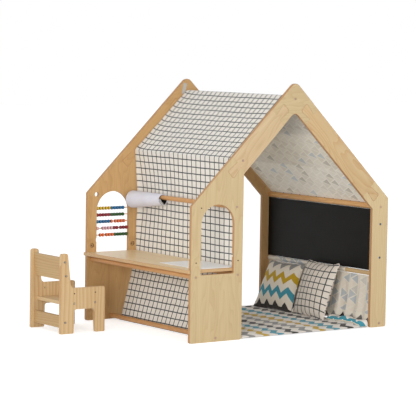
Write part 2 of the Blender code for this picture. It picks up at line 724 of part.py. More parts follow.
def roll_placement():
    """The cone's own axis: its bore rests on the rod all along, so the axis tips."""
    bore_left = ROLL_LEFT_RADIUS - PAPER_WALL - CORE_WALL - SEAT_GAP
    bore_right = ROLL_RIGHT_RADIUS - PAPER_WALL - CORE_WALL - SEAT_GAP
    rest = PAPER_ROD_HEIGHT + PAPER_ROD_RADIUS + ROLL_CLEARANCE
    left = Vector((-INNER_FACE + ROLL_LEFT_MARGIN, PAPER_ROD_Y, rest - bore_left))
    right = Vector((left.x + ROLL_LENGTH, left.y, rest - bore_right))
    direction = (right - left).normalized()
    side = Vector((0, 1, 0))
    up = direction.cross(side)
    placement = Matrix.Identity(4)
    for column, axis in enumerate((side, -up, direction)):
        for row_number in range(3):
            placement[row_number][column] = axis[row_number]
    for row_number in range(3):
        placement[row_number][3] = left[row_number]
    print("roll axis from", [round(v, 5) for v in left], "direction", [round(v, 5) for v in direction])
    return placement


def make_roll():
    placement = roll_placement()
    shell = [(ROLL_LEFT_RADIUS, 0), (ROLL_RIGHT_RADIUS, ROLL_LENGTH),
             (ROLL_RIGHT_RADIUS - PAPER_WALL, ROLL_LENGTH), (ROLL_LEFT_RADIUS - PAPER_WALL, 0)]
    finish_part(turned("paper_roll", shell, ROLL_SIDES, placement), "white", smooth=True)
    outer = PAPER_WALL + SEAT_GAP
    inner = outer + CORE_WALL
    core = [(ROLL_LEFT_RADIUS - outer, 0), (ROLL_RIGHT_RADIUS - outer, ROLL_LENGTH),
            (ROLL_RIGHT_RADIUS - inner, ROLL_LENGTH), (ROLL_LEFT_RADIUS - inner, 0)]
    finish_part(turned("paper_core", core, ROLL_SIDES, placement), "core", smooth=True)


# Cloths

def belt(stops, arc_step):
    """Path in the YZ plane that runs tangent from stop to stop.

    A stop is a circle (y, z, radius, side). The path touches it on its left where side is 1 and
    on its right where side is -1, seen along the path, and goes through it where the radius is 0.
    """
    tangents = []
    for (y1, z1, r1, s1), (y2, z2, r2, s2) in zip(stops, stops[1:]):
        run = Vector((y2 - y1, z2 - z1))
        distance = run.length
        run.normalize()
        lean = (s1 * r1 - s2 * r2) / distance
        left = Vector((-run.y, run.x))
        normal = run * lean + left * sqrt(max(0, 1 - lean * lean))
        tangents.append((Vector((y1, z1)) + normal * (s1 * r1), Vector((y2, z2)) + normal * (s2 * r2)))
    points = [tangents[0][0]]
    for (_, arrive), (leave, _), (y, z, radius, _) in zip(tangents, tangents[1:], stops[1:-1]):
        centre = Vector((y, z))
        first = arrive - centre
        last = leave - centre
        turn = atan2(first.x * last.y - first.y * last.x, first.dot(last))
        count = max(1, round(abs(turn) / arc_step))
        for step in range(count + 1):
            angle = turn * step / count
            points.append(centre + Vector((first.x * cos(angle) - first.y * sin(angle),
                                           first.x * sin(angle) + first.y * cos(angle))))
    points.append(tangents[-1][1])
    return points


def subdivided(path, longest):
    """The same path with its long straight runs split, so the cloth can wave there."""
    points = [path[0]]
    for before, after in zip(path, path[1:]):
        parts = max(1, round((after - before).length / longest))
        points += [before.lerp(after, step / parts) for step in range(1, parts + 1)]
    return points


def cloth_sheet(name, path, place, columns, finish, longest):
    """A sheet of cloth along a path. place turns a path point and a share across into XYZ."""
    rows = subdivided(path, longest)
    mesh = bpy.data.meshes.new(name)
    surface = bmesh.new()
    made = bmesh.ops.create_grid(surface, x_segments=columns, y_segments=len(rows) - 1, size=1)
    for vert in made["verts"]:
        row = round((vert.co.y + 1) / 2 * (len(rows) - 1))
        share = (vert.co.x + 1) / 2
        vert.co = place(rows[row], share)
    surface.to_mesh(mesh)
    surface.free()
    thing = bpy.data.objects.new(name, mesh)
    wall = thing.modifiers.new("cloth_thickness", "SOLIDIFY")
    wall.thickness = CLOTH
    wall.offset = 0
    return finish_part(thing, finish, smooth=True)


CLOTH_ARC_STEP = pi / 12
CLOTH_RUN = 0.120
CLOTH_HALF = INNER_FACE - CLOTH_END_MARGIN
INNER_CLOTH_RADIUS = RAIL_RADIUS + CLOTH_GAP + CLOTH / 2
OUTER_CLOTH_RADIUS = INNER_CLOTH_RADIUS + CLOTH + CLOTH_GAP


def roll_push(x, taut_y, z):
    """How far back the paper roll pushes the cloth that hangs behind it."""
    past_left_end = x + INNER_FACE - ROLL_LEFT_MARGIN
    share = min(1, max(0, past_left_end / ROLL_LENGTH))
    radius = ROLL_LEFT_RADIUS + (ROLL_RIGHT_RADIUS - ROLL_LEFT_RADIUS) * share
    push = max(0, radius + ROLL_PUSH_MARGIN + PAPER_ROD_Y - taut_y)
    low = PAPER_ROD_HEIGHT - ROLL_PUSH_BELOW
    high = PAPER_ROD_HEIGHT + ROLL_PUSH_ABOVE
    bend = BEND_RAIL[1]
    above = (bend - z) / (bend - high)
    below = (z - DESK_HEIGHT) / (low - DESK_HEIGHT)
    beyond = 1 - (past_left_end - ROLL_LENGTH) / ROLL_PUSH_FADE
    return push * max(0, min(1, above, below)) * max(0, min(1, beyond))


def make_check_canopy():
    """Check cloth: over the ridge, down the front slope, behind the desk and to the foot rail."""
    back_run = Vector((EAVE_RAIL[0] - RIDGE_RAIL[0], EAVE_RAIL[1] - RIDGE_RAIL[1])).normalized()
    outward = Vector((-back_run.y, back_run.x))
    off_slope = outward * (OUTER_CLOTH_RADIUS + CLOTH_GAP)
    flap_end = Vector(RIDGE_RAIL[:2]) + back_run * CHECK_FLAP_LENGTH + off_slope
    off_surface = CLOTH_GAP + CLOTH / 2
    stops = [
        (flap_end.x, flap_end.y, 0, -1),
        (*RIDGE_RAIL[:2], OUTER_CLOTH_RADIUS, -1),
        (*BEND_RAIL[:2], INNER_CLOTH_RADIUS, -1),
        (DESK_BACK, DESK_HEIGHT, off_surface, 1),
        (DESK_BACK, DESK_HEIGHT - DESK_THICKNESS, off_surface, 1),
        (BACK_RAIL_Y, DESK_RAIL_Z, INNER_CLOTH_RADIUS, 1),
        (FOOT_RAIL_Y, FOOT_RAIL_HEIGHT, INNER_CLOTH_RADIUS, 1),
        (FOOT_RAIL_Y, FOOT_RAIL_HEIGHT - INNER_CLOTH_RADIUS, 0, 1),
    ]
    path = belt(stops, CLOTH_ARC_STEP)
    below_desk = DESK_RAIL_Z - RAIL_RADIUS

    def place(point, share):
        x = -CLOTH_HALF + 2 * CLOTH_HALF * share
        taper = max(0, (below_desk - point.y) / below_desk) if point.x < 0 else 0
        x += CHECK_FOOT_TAPER * taper * (1 - share)
        if point.x > 0 or not DESK_HEIGHT < point.y < BEND_RAIL[1]:
            return x, point.x, point.y
        free = sin(pi * (point.y - DESK_HEIGHT) / (BEND_RAIL[1] - DESK_HEIGHT))
        wave = CLOTH_WAVE * sin(2 * pi * x / CLOTH_WAVE_PITCH) * free
        return x, point.x + wave + roll_push(x, point.x, point.y), point.y

    return cloth_sheet("check_canopy", path, place, 12, "cloth", CLOTH_RUN)


def make_roof_cloth():
    """Print cloth over the back slope, from a hem past the ridge to round the eave rail."""
    front_run = Vector((BEND_RAIL[0] - RIDGE_RAIL[0], BEND_RAIL[1] - RIDGE_RAIL[1])).normalized()
    outward = Vector((front_run.y, -front_run.x))
    hem = Vector(RIDGE_RAIL[:2]) + front_run * ROOF_HEM + outward * INNER_CLOTH_RADIUS
    eave_radius = EAVE_RAIL_RADIUS + CLOTH_GAP + CLOTH / 2
    stops = [
        (hem.x, hem.y, 0, 1),
        (*RIDGE_RAIL[:2], INNER_CLOTH_RADIUS, 1),
        (*EAVE_RAIL[:2], eave_radius, 1),
        (BOARD_Y, EAVE_RAIL_HEIGHT - eave_radius, 0, 1),
    ]

    def place(point, share):
        return -CLOTH_HALF + 2 * CLOTH_HALF * share, point.x, point.y

    return cloth_sheet("roof_print_cloth", belt(stops, CLOTH_ARC_STEP), place, 6, "cloth", CLOTH_RUN)


SKIRT_ROWS = 9
SKIRT_COLUMNS = 44


def make_skirt():
    """Gathered skirt: a sleeve on its rail, and folds that open out towards the mat."""
    inner = RAIL_RADIUS + CLOTH_GAP
    outer = inner + CLOTH
    top = SKIRT_RAIL_HEIGHT - outer - CLOTH_GAP
    bottom = MAT_THICKNESS + CLOTH_GAP + CLOTH
    drop = top - bottom
    fold_top = SKIRT_FOLD * SKIRT_FOLD_TOP_SHARE
    path = [Vector((0, top - drop * row / SKIRT_ROWS)) for row in range(SKIRT_ROWS + 1)]

    def place(point, share):
        x = -CLOTH_HALF + 2 * CLOTH_HALF * share
        fallen = (top - point.y) / drop
        fold = fold_top + (SKIRT_FOLD - fold_top) * fallen
        y = BOARD_Y - SKIRT_FORWARD * fallen ** 2 + fold * cos(2 * pi * SKIRT_FOLD_COUNT * share)
        return x, y - fold, point.y

    cloth_sheet("skirt_cloth", path, place, SKIRT_COLUMNS, "cloth", drop)
    length = SLEEVE_RIGHT_END + CLOTH_HALF
    profile = [(outer, 0), (outer, length), (inner, length), (inner, 0)]
    sleeve = turned("skirt_sleeve", profile, SLEEVE_SIDES, along_x(-CLOTH_HALF, *SKIRT_RAIL[:2]))
    finish_part(sleeve, "cloth", smooth=True)


def make_ridge_tab():
    """Webbing tab on the left gable's inner face, above the ridge rail."""
    x = -INNER_FACE + SEAT_GAP
    tab = block("ridge_tab", (0, -TAB_WIDTH / 2, -TAB_LENGTH / 2), (CLOTH, TAB_WIDTH / 2, TAB_LENGTH / 2))
    height = RIDGE_RAIL_HEIGHT + TAB_ABOVE_RAIL
    tab.matrix_world = (Matrix.Translation((x + CLOTH / 2, -TAB_FROM_CENTRE, height))
                        @ Matrix.Rotation(-TAB_LEAN, 4, "X"))
    return finish_part(tab, "tab")


def make_mat():
    low = (-HALF_LENGTH + MAT_CLEARANCE, PANEL_INNER_EDGE + MAT_CLEARANCE, 0)
    high = (HALF_LENGTH - MAT_CLEARANCE, POST_INNER_EDGE - MAT_CLEARANCE, MAT_THICKNESS)
    return finish_part(block("floor_mat", low, high, MAT_ROUNDING), "cloth", smooth=True)


def make_pillow(name, width, height, spread, place, lean, turn):
    """A square cushion: crowned faces that meet in a seam, with sides drawn in between corners.

    spread is how much wider it sits at its bottom edge than at its middle.
    """
    half_width, half_height = width / 2, height / 2
    mesh = bpy.data.meshes.new(name)
    solid = bmesh.new()
    for face_sign in (1, -1):
        made = bmesh.ops.create_grid(solid, x_segments=PILLOW_CELLS, y_segments=PILLOW_CELLS, size=1)
        for vert in made["verts"]:
            u, v = vert.co.x, vert.co.y
            across = u * (1 - PILLOW_PULL_SHARE * (1 - v * v) * u * u) * (1 - spread * v)
            up = v * (1 - PILLOW_PULL_SHARE * (1 - u * u) * v * v)
            crown = max(0, (1 - u * u) * (1 - v * v)) ** PILLOW_EDGE_POWER
            vert.co = (half_width * across, half_height * up, face_sign * PILLOW_THICKNESS / 2 * crown)
        if face_sign < 0:
            under = {face for vert in made["verts"] for face in vert.link_faces}
            bmesh.ops.reverse_faces(solid, faces=list(under))
    bmesh.ops.remove_doubles(solid, verts=solid.verts, dist=WELD_DISTANCE)
    solid.to_mesh(mesh)
    solid.free()
    pillow = bpy.data.objects.new(name, mesh)
    turned_by = Matrix.Rotation(turn, 4, "Z") @ Matrix.Rotation(pi / 2 - lean, 4, "X")
    lowest = min((turned_by @ vert.co).z for vert in mesh.vertices)
    bottom_edge = turned_by @ Vector((0, -half_height, 0))
    floor = MAT_THICKNESS + SEAT_GAP
    pillow.matrix_world = Matrix.Translation((place[0] - bottom_edge.x, place[1] - bottom_edge.y,
                                              floor - lowest)) @ turned_by
    return finish_part(pillow, "cloth", smooth=True)


# Chair

def chair_side_outline():
    """Side panel with back post, arm and two legs, as (from the back, up) corners."""
    back = CHAIR_BACK
    front = back + CHAIR_DEPTH
    post_top = back + CHAIR_POST_TOP_WIDTH
    post_arm = back + CHAIR_POST_ARM_WIDTH
    back_leg = back + CHAIR_BACK_LEG
    front_leg = front - CHAIR_FRONT_LEG
    return rounded([
        (back, 0, CHAIR_FOOT_ROUNDING),
        (back, CHAIR_HEIGHT, CHAIR_ROUNDING),
        (post_top, CHAIR_HEIGHT, CHAIR_ROUNDING),
        (post_arm, CHAIR_ARM_HEIGHT, CHAIR_NECK_ROUNDING),
        (front, CHAIR_ARM_HEIGHT, CHAIR_ROUNDING),
        (front, 0, CHAIR_FOOT_ROUNDING),
        (front_leg, 0, CHAIR_FOOT_ROUNDING),
        (front_leg - CHAIR_LEG_TAPER, CHAIR_ARCH_HEIGHT, CHAIR_ROUNDING),
        (back_leg + CHAIR_LEG_TAPER / 2, CHAIR_ARCH_HEIGHT, CHAIR_ROUNDING),
        (back_leg, 0, CHAIR_FOOT_ROUNDING),
    ])


def chair_bolt_places():
    seat_z = CHAIR_SEAT_HEIGHT - PLY / 2
    rest_z = CHAIR_BACKREST_BOTTOM + CHAIR_BACKREST_HEIGHT / 2
    rest_y = CHAIR_BACK + CHAIR_BACKREST_SETBACK
    half = CHAIR_BACKREST_BOLT_PITCH / 2
    places = [(CHAIR_BACK + y, seat_z) for y in CHAIR_SEAT_BOLTS]
    places += [(rest_y - s * half * sin(CHAIR_BACKREST_LEAN), rest_z + s * half * cos(CHAIR_BACKREST_LEAN))
               for s in (1, -1)]
    stretcher_middle = CHAIR_STRETCHER_BOTTOM + CHAIR_STRETCHER_HEIGHT / 2
    places.append((CHAIR_BACK + CHAIR_STRETCHER_SETBACK, stretcher_middle))
    return places


def bolt_rung(rung, places):
    """Join a cross piece of the chair to the bolts that come in through both side panels."""
    bolts = bolts_for(rung.name, places, CHAIR_RIGHT_FACE - CHAIR_WIDTH, CHAIR_RIGHT_FACE)
    combine(rung, bolts, "UNION")
    return finish_part(rung, "pine")


def make_chair():
    right = CHAIR_RIGHT_FACE
    left = right - CHAIR_WIDTH
    places = chair_bolt_places()
    seat_places, rest_places, stretcher_places = places[:2], places[2:4], places[4:]
    spare = [(y, z + CHAIR_SEAT_LIFT) for y, z in seat_places]
    for word, middle in (("left", left + PLY / 2), ("right", right - PLY / 2)):
        holes = [circle(y, z, HOLE_RADIUS, HOLE_SIDES) for y, z in places + spare]
        side = board(f"chair_{word}_side", [chair_side_outline()] + holes, PLY, facing_x(middle))
        finish_part(side, "pine")

    inner_left = left + PLY + SEAT_GAP
    inner_right = right - PLY - SEAT_GAP
    seat = block("chair_seat", (inner_left, CHAIR_BACK + CHAIR_SEAT_BACK, CHAIR_SEAT_HEIGHT - PLY),
                 (inner_right, CHAIR_BACK + CHAIR_SEAT_FRONT, CHAIR_SEAT_HEIGHT))
    bolt_rung(seat, seat_places)

    stretcher_y = CHAIR_BACK + CHAIR_STRETCHER_SETBACK
    stretcher = block("chair_stretcher", (inner_left, stretcher_y - PLY / 2, CHAIR_STRETCHER_BOTTOM),
                      (inner_right, stretcher_y + PLY / 2, CHAIR_STRETCHER_BOTTOM + CHAIR_STRETCHER_HEIGHT))
    bolt_rung(stretcher, stretcher_places)

    rest_y = CHAIR_BACK + CHAIR_BACKREST_SETBACK
    half = CHAIR_BACKREST_HEIGHT / 2
    backrest = block("chair_backrest", (inner_left, -PLY / 2, -half), (inner_right, PLY / 2, half))
    backrest.matrix_world = (Matrix.Translation(((left + right) / 2, rest_y, CHAIR_BACKREST_BOTTOM + half))
                             @ Matrix.Rotation(CHAIR_BACKREST_LEAN, 4, "X"))
    bolt_rung(backrest, rest_places)


def main():
    global PARTS, CUTTERS
    clear_scene()
    PARTS = new_collection("sensory_activity_desk")
    CUTTERS = new_collection("cutters")
    make_gable("left", -1)
    make_gable("right", 1)
    make_rail("ridge_rail", *RIDGE_RAIL)
    make_rail("roof_bend_rail", *BEND_RAIL)
    make_rail("eave_rail", *EAVE_RAIL)
    make_rail("back_foot_rail", *BACK_FOOT_RAIL)
    make_rail("skirt_rail", *SKIRT_RAIL)
    for name, rail in FRONT_RAILS.items():
        make_rail(name, *rail)
    make_desk_top()
    make_drawing_sheet()
    make_chalkboard()
    make_abacus_rods()
    make_beads()
    make_roll()
    make_check_canopy()
    make_roof_cloth()
    make_skirt()
    make_ridge_tab()
    make_mat()
    make_pillow("chevron_pillow", CHEVRON_PILLOW_WIDTH, CHEVRON_PILLOW_HEIGHT, CHEVRON_PILLOW_SPREAD_SHARE,
                (CHEVRON_PILLOW_ACROSS, BOARD_Y - CHEVRON_PILLOW_FROM_BOARD),
                CHEVRON_PILLOW_LEAN, CHEVRON_PILLOW_TURN)
    make_pillow("check_pillow", CHECK_PILLOW_SIDE, CHECK_PILLOW_SIDE, CHECK_PILLOW_SPREAD_SHARE,
                (CHECK_PILLOW_ACROSS, BOARD_Y - CHECK_PILLOW_FROM_BOARD),
                CHECK_PILLOW_LEAN, CHECK_PILLOW_TURN)
    make_chair()
    print("sub-parts:", len(PARTS.objects))


main()
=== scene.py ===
# %% [markdown]
# # A sensory activity desk, dressed for the camera
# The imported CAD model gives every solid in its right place. This lesson puts the looks on it: birch plywood
# with its grain and layers, round rails, printed cloth that hangs and folds, soft pillows and a quilted
# mat, glossy beads and a roll of paper. Sizes are in metres, Z is up and the desk is on the -Y side.

# %% The frame and the tools
import json
import math
import bpy
import bmesh
import numpy as np
from mathutils import Matrix, Vector, noise
from mathutils.bvhtree import BVHTree


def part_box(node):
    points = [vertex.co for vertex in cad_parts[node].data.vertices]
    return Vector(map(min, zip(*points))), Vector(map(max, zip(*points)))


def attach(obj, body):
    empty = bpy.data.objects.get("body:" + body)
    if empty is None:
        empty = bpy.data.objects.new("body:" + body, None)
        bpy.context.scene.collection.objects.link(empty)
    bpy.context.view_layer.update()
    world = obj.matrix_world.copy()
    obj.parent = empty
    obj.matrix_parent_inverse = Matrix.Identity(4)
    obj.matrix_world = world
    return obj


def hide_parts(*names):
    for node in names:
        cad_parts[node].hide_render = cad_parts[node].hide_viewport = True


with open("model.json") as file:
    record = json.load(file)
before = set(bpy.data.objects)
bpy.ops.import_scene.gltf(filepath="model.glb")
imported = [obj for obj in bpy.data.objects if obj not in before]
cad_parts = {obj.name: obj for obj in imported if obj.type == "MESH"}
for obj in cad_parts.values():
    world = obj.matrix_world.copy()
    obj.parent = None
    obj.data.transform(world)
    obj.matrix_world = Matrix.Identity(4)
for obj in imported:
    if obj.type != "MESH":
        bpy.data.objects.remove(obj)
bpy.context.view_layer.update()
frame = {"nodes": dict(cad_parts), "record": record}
NODES = frame["nodes"]
scene = bpy.context.scene

# %% [markdown]
# ## The camera
# The camera stands where the photograph was taken from, low and far away with a long lens. Its place,
# direction and focal length were worked out from the gables and rails, so the picture lines up with no
# fitting. It is rolled a little about its own axis, and the lens's middle isn't quite the picture's middle.

# %% Camera
IMAGE_SIZE, FOCAL_PIXELS, SENSOR, SEEN_RIGHT_BY = 416, 2031.3, 36, 1.5
CAMERA_PLACE, CAMERA_BACK = (8.8378, -6.5577, 1.5455), (0.8082, -0.5831, 0.0830)
ROLLED_BY = math.radians(0.94)
camera_data = bpy.data.cameras.new("studio_camera")
camera_data.sensor_width = SENSOR
camera_data.lens = FOCAL_PIXELS / IMAGE_SIZE * SENSOR
camera_data.shift_x = -SEEN_RIGHT_BY / IMAGE_SIZE
camera = bpy.data.objects.new("studio_camera", camera_data)
scene.collection.objects.link(camera)
back = Vector(CAMERA_BACK).normalized()
level_right = Vector((-back.y, back.x, 0)).normalized()
level_up = back.cross(level_right)
right = level_right * math.cos(ROLLED_BY) + level_up * math.sin(ROLLED_BY)
up = level_up * math.cos(ROLLED_BY) - level_right * math.sin(ROLLED_BY)
camera.matrix_world = Matrix.Translation(CAMERA_PLACE) @ Matrix((right, up, back)).transposed().to_4x4()
scene.camera = camera
scene.view_settings.view_transform = "Standard"
print("lens", round(camera_data.lens, 1), "mm")

# %% [markdown]
# ## Short words for shader trees
# A shader is a small network of nodes. It is easier to read when each node is one short call: `put` makes a
# node, sets its properties and feeds its inputs. A socket is linked, and anything else is a plain value.


# %% Helpers for shader trees
def feed(tree, made, feeds):
    """Feeds a node's inputs by name, with _ for a space, or by number as i0, i1 and so on."""
    for name, value in feeds.items():
        socket = made.inputs[int(name[1:])] if name[1:].isdigit() else made.inputs[name.replace("_", " ")]
        if isinstance(value, bpy.types.NodeSocket):
            tree.links.new(value, socket)
        else:
            socket.default_value = value
    return made


def put(tree, kind, settings=None, **feeds):
    """A new node with its properties set and its inputs fed."""
    made = tree.nodes.new(kind)
    for name, value in (settings or {}).items():
        setattr(made, name, value)
    return feed(tree, made, feeds)


def sums(tree, operation, *values):
    """One math node's result."""
    feeds = {f"i{number}": value for number, value in enumerate(values)}
    return put(tree, "ShaderNodeMath", {"operation": operation}, **feeds).outputs[0]


def blend_colours(tree, share, first, second, how="MIX"):
    """The result of mixing two colours."""
    settings = {"data_type": "RGBA", "blend_type": how}
    return put(tree, "ShaderNodeMix", settings, i0=share, i6=first, i7=second).outputs[2]


def ranged(tree, value, **limits):
    """A value taken from one range to another, and held inside it."""
    return put(tree, "ShaderNodeMapRange", None, Value=value, **limits).outputs[0]


def object_place(tree):
    """Each point's place in the piece's own coordinates, in metres."""
    return put(tree, "ShaderNodeTexCoord").outputs["Object"]


print("helpers ready")

# %% [markdown]
# Colours are written as they are seen on a screen, and turned into the linear numbers that light is
# reckoned in. A look that many pieces share is kept as a group, so each material only says what is its own.
# The last helper is for plain surfaces: a soft noise between two near tones, as nothing real has one flat
# colour.


# %% Colours, groups and materials
def srgb(red, green, blue):
    """A colour as linear numbers from the 0 to 255 values seen on a screen."""
    shares = [value / 255 for value in (red, green, blue)]
    linear = [s / 12.92 if s <= 0.04045 else ((s + 0.055) / 1.055) ** 2.4 for s in shares]
    return (*linear, 1)


def darker(colour, share):
    """A linear colour with its light taken down to a share."""
    return tuple(part * share for part in colour[:3]) + (1,)


def group(name, inputs, outputs):
    """A shader group with named sockets. Returns the tree and its input and output nodes."""
    tree = bpy.data.node_groups.new(name, "ShaderNodeTree")
    for title, kind, value in inputs:
        socket = tree.interface.new_socket(title, in_out="INPUT", socket_type="NodeSocket" + kind)
        if value is not None:
            socket.default_value = value
    for title, kind in outputs:
        tree.interface.new_socket(title, in_out="OUTPUT", socket_type="NodeSocket" + kind)
    return tree, tree.nodes.new("NodeGroupInput").outputs, tree.nodes.new("NodeGroupOutput").inputs


def use(tree, shared, **feeds):
    """Places a shader group in a material with its own values."""
    return feed(tree, put(tree, "ShaderNodeGroup", {"node_tree": shared}), feeds).outputs


def new_finish(name, roughness=0.5, **constants):
    """An empty material: its tree, and its Principled shader's inputs."""
    finish = bpy.data.materials.new(name)
    finish.use_nodes = True
    shader = finish.node_tree.nodes["Principled BSDF"].inputs
    shader["Roughness"].default_value = roughness
    for title, value in constants.items():
        shader[title.replace("_", " ")].default_value = value
    return finish, finish.node_tree, shader


def speckled(tree, shader, where, scale, first, second):
    """Gives a shader a soft mix of two screen colours."""
    speck = put(tree, "ShaderNodeTexNoise", None, Vector=where, Scale=scale, Detail=2.0).outputs[0]
    tree.links.new(blend_colours(tree, speck, srgb(*first), srgb(*second)), shader["Base Color"])


print("white is", srgb(255, 255, 255))

# %% [markdown]
# ## Floor, backdrop and lamps
# The floor looks pure white to the camera and keeps the soft shadow under the object: for camera rays a
# little glow is added to its plain white, and every other ray sees an ordinary pale floor.

# %% Floor
FLOOR_SIZE, FLOOR_SUNK = 30, 0.0005
floor_mesh = bpy.data.meshes.new("floor")
floor_mesh.from_pydata([(-FLOOR_SIZE, -FLOOR_SIZE, 0), (FLOOR_SIZE, -FLOOR_SIZE, 0),
                        (FLOOR_SIZE, FLOOR_SIZE, 0), (-FLOOR_SIZE, FLOOR_SIZE, 0)], [], [(0, 1, 2, 3)])
floor = bpy.data.objects.new("floor", floor_mesh)
scene.collection.objects.link(floor)
floor.location.z = -FLOOR_SUNK
floor_finish, tree, shader = new_finish("pale_floor", roughness=0.9, Specular_IOR_Level=0)
shader["Base Color"].default_value = (0.80, 0.80, 0.80, 1)
shader["Emission Color"].default_value = (1, 1, 1, 1)
path = put(tree, "ShaderNodeLightPath")
seen = sums(tree, "MAXIMUM", path.outputs["Is Camera Ray"], path.outputs["Is Glossy Ray"])
tree.links.new(sums(tree, "MULTIPLY", seen, 0.62), shader["Emission Strength"])
floor_mesh.materials.append(floor_finish)
print("floor", 2 * FLOOR_SIZE, "m wide")

# %% [markdown]
# The light is that of a plain studio. The surround is white where it is seen and dimmer where it only
# lights. Three soft lamps shape the form: the strong one stands low on the viewer's side and lights the
# front of the desk, a weak one hangs above the right gable, and a third shines level through its window
# into the house.

# %% Surround and lamps
world = bpy.data.worlds.new("studio")
scene.world = world
world.use_nodes = True
tree = world.node_tree
path = put(tree, "ShaderNodeLightPath")
seen = sums(tree, "MAXIMUM", path.outputs["Is Camera Ray"], path.outputs["Is Glossy Ray"])
seen = sums(tree, "MAXIMUM", seen, path.outputs["Is Transmission Ray"])
tree.links.new(ranged(tree, seen, To_Min=0.64, To_Max=1.0), tree.nodes["Background"].inputs["Strength"])
tree.nodes["Background"].inputs["Color"].default_value = (1, 1, 1, 1)


def soft_lamp(name, place, size, watts):
    """A large square lamp that looks at the middle of the house."""
    data = bpy.data.lights.new(name, "AREA")
    data.size = size
    data.energy = watts
    lamp = bpy.data.objects.new(name, data)
    turn = (Vector(place) - Vector((0, -0.2, 0.5))).to_track_quat("Z", "Y").to_matrix().to_4x4()
    lamp.matrix_world = Matrix.Translation(place) @ turn
    scene.collection.objects.link(lamp)


soft_lamp("key_lamp", (4.2, -1.2, 3.4), 3.0, 20)
soft_lamp("viewer_side_lamp", (5.0, -6.2, 1.3), 3.0, 280)
soft_lamp("gable_side_lamp", (6.0, -0.5, 0.7), 2.0, 28)

# %% [markdown]
# ## Wood
# Sawn and peeled wood shows two things: fine streaks that run with the grain, and wide nested waves where
# the knife cut through the year rings. Stretched noise gives the streaks. The waves are bands of a
# distorted distance, which is how the rings themselves come about. It is a group, because every board uses
# it with its own direction and tones.

# %% The grain group
grain, given, result = group(
    "grain",
    [("Vector", "Vector", None), ("Pale", "Color", None), ("Dark", "Color", None), ("Figure", "Float", 0.5),
     ("Streaks", "Float", 0.5), ("Ring Width", "Float", 0.030), ("Sway", "Float", 0.55)],
    [("Color", "Color"), ("Roughness", "Float"), ("Height", "Float")])


def stretched_noise(along, across, **feeds):
    """Noise that is drawn out along the grain."""
    scale = (along, across, across)
    laid = put(grain, "ShaderNodeMapping", None, Vector=given["Vector"], Scale=scale).outputs[0]
    return put(grain, "ShaderNodeTexNoise", None, Vector=laid, **feeds).outputs[0]


sway = stretched_noise(0.9, 5.0, Scale=1.6, Detail=2.0, Roughness=0.45)
split = put(grain, "ShaderNodeSeparateXYZ", None, Vector=given["Vector"]).outputs
drift = sums(grain, "MULTIPLY_ADD", sway, given["Sway"], split[1])
phase = sums(grain, "FRACT", sums(grain, "DIVIDE", drift, given["Ring Width"]))
edge_of_ring = sums(grain, "POWER", phase, 2.6)
fibre = stretched_noise(4.0, 190.0, Scale=1.0, Detail=3.0, Roughness=0.6)
cloud = stretched_noise(1.5, 22.0, Scale=1.0, Detail=1.5, Roughness=0.5)
fibre_dark = ranged(grain, fibre, From_Min=0.35, From_Max=0.75)
cloud_dark = ranged(grain, cloud, From_Min=0.30, From_Max=0.72)
both = sums(grain, "ADD", sums(grain, "MULTIPLY", fibre_dark, 0.45),
            sums(grain, "MULTIPLY", cloud_dark, 0.55))
darkness = sums(grain, "MULTIPLY_ADD", edge_of_ring, given["Figure"],
                sums(grain, "MULTIPLY", both, given["Streaks"]))
grain.links.new(blend_colours(grain, sums(grain, "MINIMUM", darkness, 1.0), given["Pale"], given["Dark"]),
                result["Color"])
grain.links.new(sums(grain, "MULTIPLY_ADD", fibre_dark, 0.16, 0.42), result["Roughness"])
grain.links.new(fibre, result["Height"])
print("grain group", len(grain.nodes), "nodes")

# %% [markdown]
# Plywood shows its thin layers on the cut edges, alternately end grain and long grain. The depth through
# the board picks the layer, and the facing tells a cut edge from a face. Hands darken the rounded rims,
# which are marked in the attribute "rubbed".

# %% Layers and rubbed edges
layers, given, result = group(
    "ply_layers",
    [("Color", "Color", None), ("Depth", "Float", 0), ("Facing", "Float", 1), ("Layer", "Float", 0.0028),
     ("Edge Pale", "Color", None), ("Edge Dark", "Color", None)], [("Color", "Color")])
on_face = sums(layers, "GREATER_THAN", sums(layers, "ABSOLUTE", given["Facing"]), 0.80)
turn = sums(layers, "MULTIPLY", sums(layers, "DIVIDE", given["Depth"], given["Layer"]), 2 * math.pi)
stripe = ranged(layers, sums(layers, "SINE", turn), From_Min=-0.4, From_Max=0.4)
edge_colour = blend_colours(layers, stripe, given["Edge Pale"], given["Edge Dark"])
layers.links.new(blend_colours(layers, on_face, edge_colour, given["Color"]), result["Color"])

rubbed, given, result = group("rubbed_edges", [("Color", "Color", None), ("Worn", "Color", None)],
                              [("Color", "Color")])
mark = put(rubbed, "ShaderNodeAttribute", {"attribute_name": "rubbed"}).outputs["Fac"]
rubbed.links.new(blend_colours(rubbed, mark, given["Color"], given["Worn"]), result["Color"])
print("wood groups", [made.name for made in bpy.data.node_groups])

# %% [markdown]
# The gables are birch, the rails are beech and the chair is pine. Each species has its tones, the strength
# of its figure and the width of its rings, and no two boards are cut from the same place in the log.

# %% Wood tones
X, Y, Z = Vector((1, 0, 0)), Vector((0, 1, 0)), Vector((0, 0, 1))


def species(pale, dark, figure, streaks, rings, sway):
    """A wood's two tones and the size and strength of its pattern."""
    return dict(pale=srgb(*pale), dark=srgb(*dark), figure=figure, streaks=streaks, rings=rings, sway=sway)


def toned(wood_kind, pale, dark, **changed):
    """The same wood in other tones."""
    return dict(wood_kind, pale=srgb(*pale), dark=srgb(*dark), **changed)


def rim_tones(pale, dark, worn):
    """The tones of a plywood edge: its two kinds of layer, and the rubbed rim."""
    return dict(Edge_Pale=srgb(*pale), Edge_Dark=srgb(*dark)), srgb(*worn)


